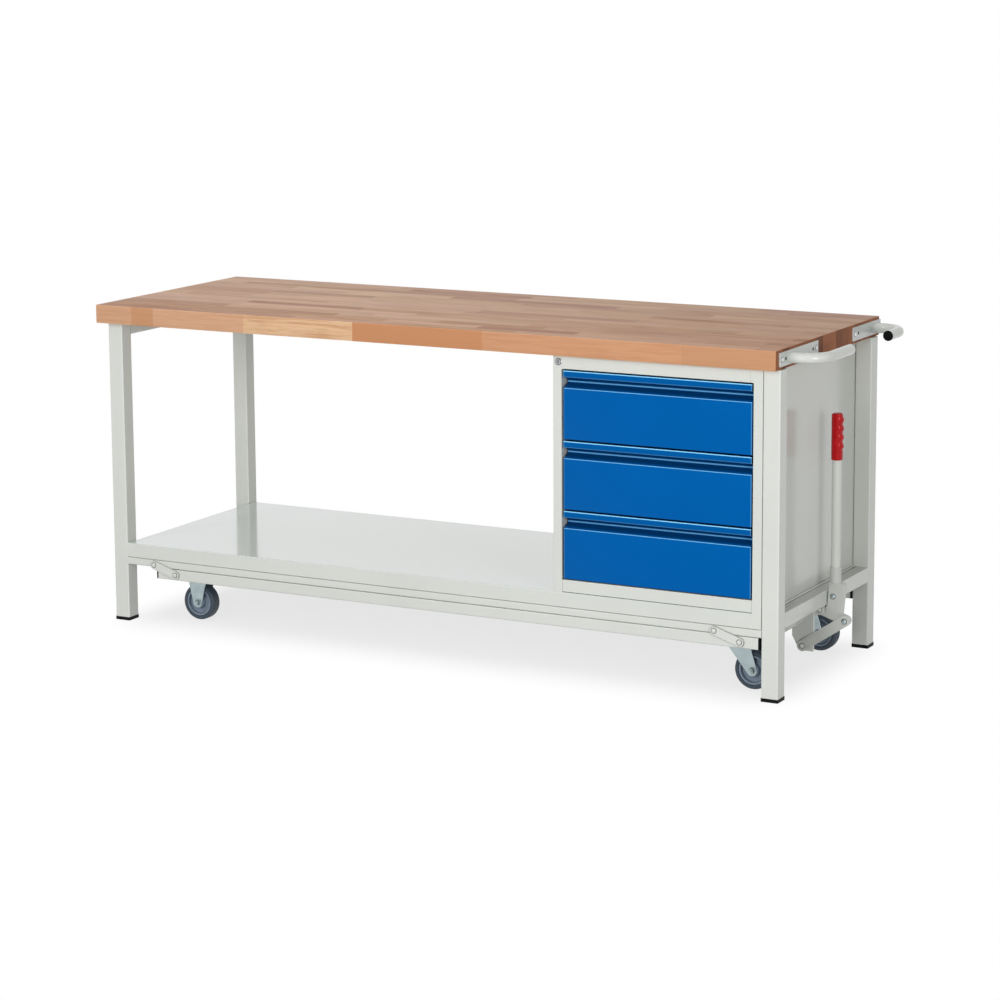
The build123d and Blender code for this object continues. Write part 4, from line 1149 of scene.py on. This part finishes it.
class BENCH_OT_stage(bpy.types.Operator):
    """Set the camera, the lamps, the sky and the floor"""

    bl_idname = "bench.stage"
    bl_label = "Stage"

    def execute(self, context):
        stage = context.scene.bench_stage
        self.camera(context.scene, stage)
        # the wide lamp stays out of the gloss, where it would turn the shelf white
        self.lamp("front_lamp", stage.front, 4, 14, 7.0, 4.4, in_gloss=False)
        self.lamp("side_lamp", stage.side, 54, 8, 6.0, 1.6)
        self.lamp("high_lamp", stage.high, -28, 32, 6.5, 1.0)
        self.sky(context.scene, stage)
        self.floor()
        context.scene.view_settings.view_transform = "Standard"
        return {"FINISHED"}

    def outward(self, a, e):
        """Direction of azimuth a and elevation e: (sin a cos e, -cos a cos e, sin e)."""
        return Vector((math.sin(a) * math.cos(e), -math.cos(a) * math.cos(e), math.sin(e)))

    def camera(self, scene, stage):
        """Looks back along the view's direction, and is rolled about it."""
        back = self.outward(stage.azimuth, stage.elevation)
        right = (-back).cross(Vector((0, 0, 1))).normalized()
        down = (-back).cross(right)
        cosine, sine = math.cos(stage.roll), math.sin(stage.roll)
        right, down = cosine * right - sine * down, sine * right + cosine * down
        lens = bpy.data.cameras.new("camera")
        lens.sensor_width = 36.0
        lens.lens = stage.lens
        lens.shift_y = stage.rise
        lens.clip_end = 200.0
        camera = bpy.data.objects.new("camera", lens)
        axes = Matrix((right, -down, back)).transposed()
        camera.matrix_world = Matrix.Translation(stage.place) @ axes.to_4x4()
        scene.collection.objects.link(camera)
        scene.camera = camera

    def lamp(self, name, power, azimuth, elevation, distance, size, in_gloss=True):
        """Round lamp aimed at the middle of the bench from these angles, in degrees."""
        middle = Vector((0.0, 0.0, 0.45))
        out = self.outward(math.radians(azimuth), math.radians(elevation))
        light = bpy.data.lights.new(name, "AREA")
        light.shape = "DISK"
        light.size = size
        light.energy = power
        lamp = bpy.data.objects.new(name, light)
        lamp.location = middle + distance * out
        lamp.rotation_euler = out.to_track_quat("Z", "Y").to_euler()
        lamp.visible_glossy = in_gloss
        bpy.context.scene.collection.objects.link(lamp)

    def seen(self, f):
        """1 on rays from the camera and in gloss or glass, and 0 on the rays that light."""
        rays = [f.node("ShaderNodeLightPath", None, None, f"Is {kind} Ray")
                for kind in ("Camera", "Glossy", "Transmission")]
        return rays[0].most(rays[1]).most(rays[2])

    def sky(self, scene, stage):
        """Even light, seen as plain white by the camera and in gloss."""
        world = bpy.data.worlds.new("sky")
        f = Finish(world)
        level = f.spread(self.seen(f), 0.0, 1.0, stage.sky, 1.0)
        light = f.node("ShaderNodeBackground", None,
                       {"Color": (1.0, 1.0, 1.0, 1.0), "Strength": level})
        f.end("ShaderNodeOutputWorld", light)
        scene.world = world

    def floor(self):
        """White disc that keeps the shadow near the bench and turns pure white further out.

        Away is the distance beyond a box under the bench, as a share of the fade's width."""
        radius, grey, kept_shadow = 14, 0.6, 0.255
        half_length, length_fade = 0.89, 0.18
        half_depth, depth_fade = 0.20, 0.28
        mesh = bpy.data.meshes.new("floor")
        t = np.arange(96) * TURN / 96
        ring = np.column_stack([radius * np.cos(t), radius * np.sin(t), np.zeros(96)])
        mesh.from_pydata(ring.tolist(), [], [list(range(96))])
        floor = bpy.data.objects.new("floor", mesh)
        bpy.context.scene.collection.objects.link(floor)
        f = Finish(bpy.data.materials.new("floor"))
        x, y, _ = f.axes()
        past = (((x + 0.02).of("ABSOLUTE") - half_length) / length_fade).most(0.0)
        ahead = ((y.of("ABSOLUTE") - half_depth) / depth_fade).most(0.0)
        away = (past * past + ahead * ahead).of("SQRT")
        clear = f.spread(away, 0.0, 1.0, curve="SMOOTHSTEP")
        cloth = f.node("ShaderNodeBsdfDiffuse", None, {"Color": (grey, grey, grey, 1.0)})
        glow = f.node("ShaderNodeEmission", None, {"Color": (1.0, 1.0, 1.0, 1.0), "Strength": 1.0})
        share = self.seen(f) * (1.0 - kept_shadow + kept_shadow * clear)
        f.end("ShaderNodeOutputMaterial",
              f.node("ShaderNodeMixShader", None, {0: share, 1: cloth, 2: glow}))
        floor.data.materials.append(f.owner)


class BENCH_PT_sidebar(bpy.types.Panel):
    """Lists the sizes, colours and pieces of the workbench"""

    bl_idname = "BENCH_PT_sidebar"
    bl_label = "Workbench"
    bl_space_type = "VIEW_3D"
    bl_region_type = "UI"
    bl_category = "Workbench"

    def draw(self, context):
        for group in GROUPS:
            box = self.layout.box()
            settings = getattr(context.scene, group)
            for name in GROUPS[group].__annotations__:
                box.prop(settings, name)
        for operator in OPERATORS:
            self.layout.operator(operator.bl_idname)


GROUPS = {
    "bench_wood": BenchWood,
    "bench_paint": BenchPaint,
    "bench_folds": BenchFolds,
    "bench_wheels": BenchWheels,
    "bench_grip": BenchGrip,
    "bench_stage": BenchStage,
}
OPERATORS = (
    BENCH_OT_metalwork,
    BENCH_OT_edges,
    BENCH_OT_drawers,
    BENCH_OT_fasteners,
    BENCH_OT_handles,
    BENCH_OT_closings,
    BENCH_OT_worktop,
    BENCH_OT_wheels,
    BENCH_OT_lever,
    BENCH_OT_stage,
)


def register():
    for kind in (*GROUPS.values(), *OPERATORS, BENCH_PT_sidebar):
        bpy.utils.register_class(kind)
    for name, kind in GROUPS.items():
        setattr(bpy.types.Scene, name, PointerProperty(type=kind))


def unregister():
    for name in GROUPS:
        delattr(bpy.types.Scene, name)
    for kind in (BENCH_PT_sidebar, *OPERATORS[::-1], *list(GROUPS.values())[::-1]):
        bpy.utils.unregister_class(kind)


def main():
    register()
    bpy.ops.bench.metalwork()
    bpy.ops.bench.edges()
    bpy.ops.bench.drawers()
    bpy.ops.bench.fasteners()
    bpy.ops.bench.handles()
    bpy.ops.bench.closings()
    bpy.ops.bench.worktop()
    bpy.ops.bench.wheels()
    bpy.ops.bench.lever()
    bpy.ops.bench.stage()


if __name__ == "__main__":
    main()
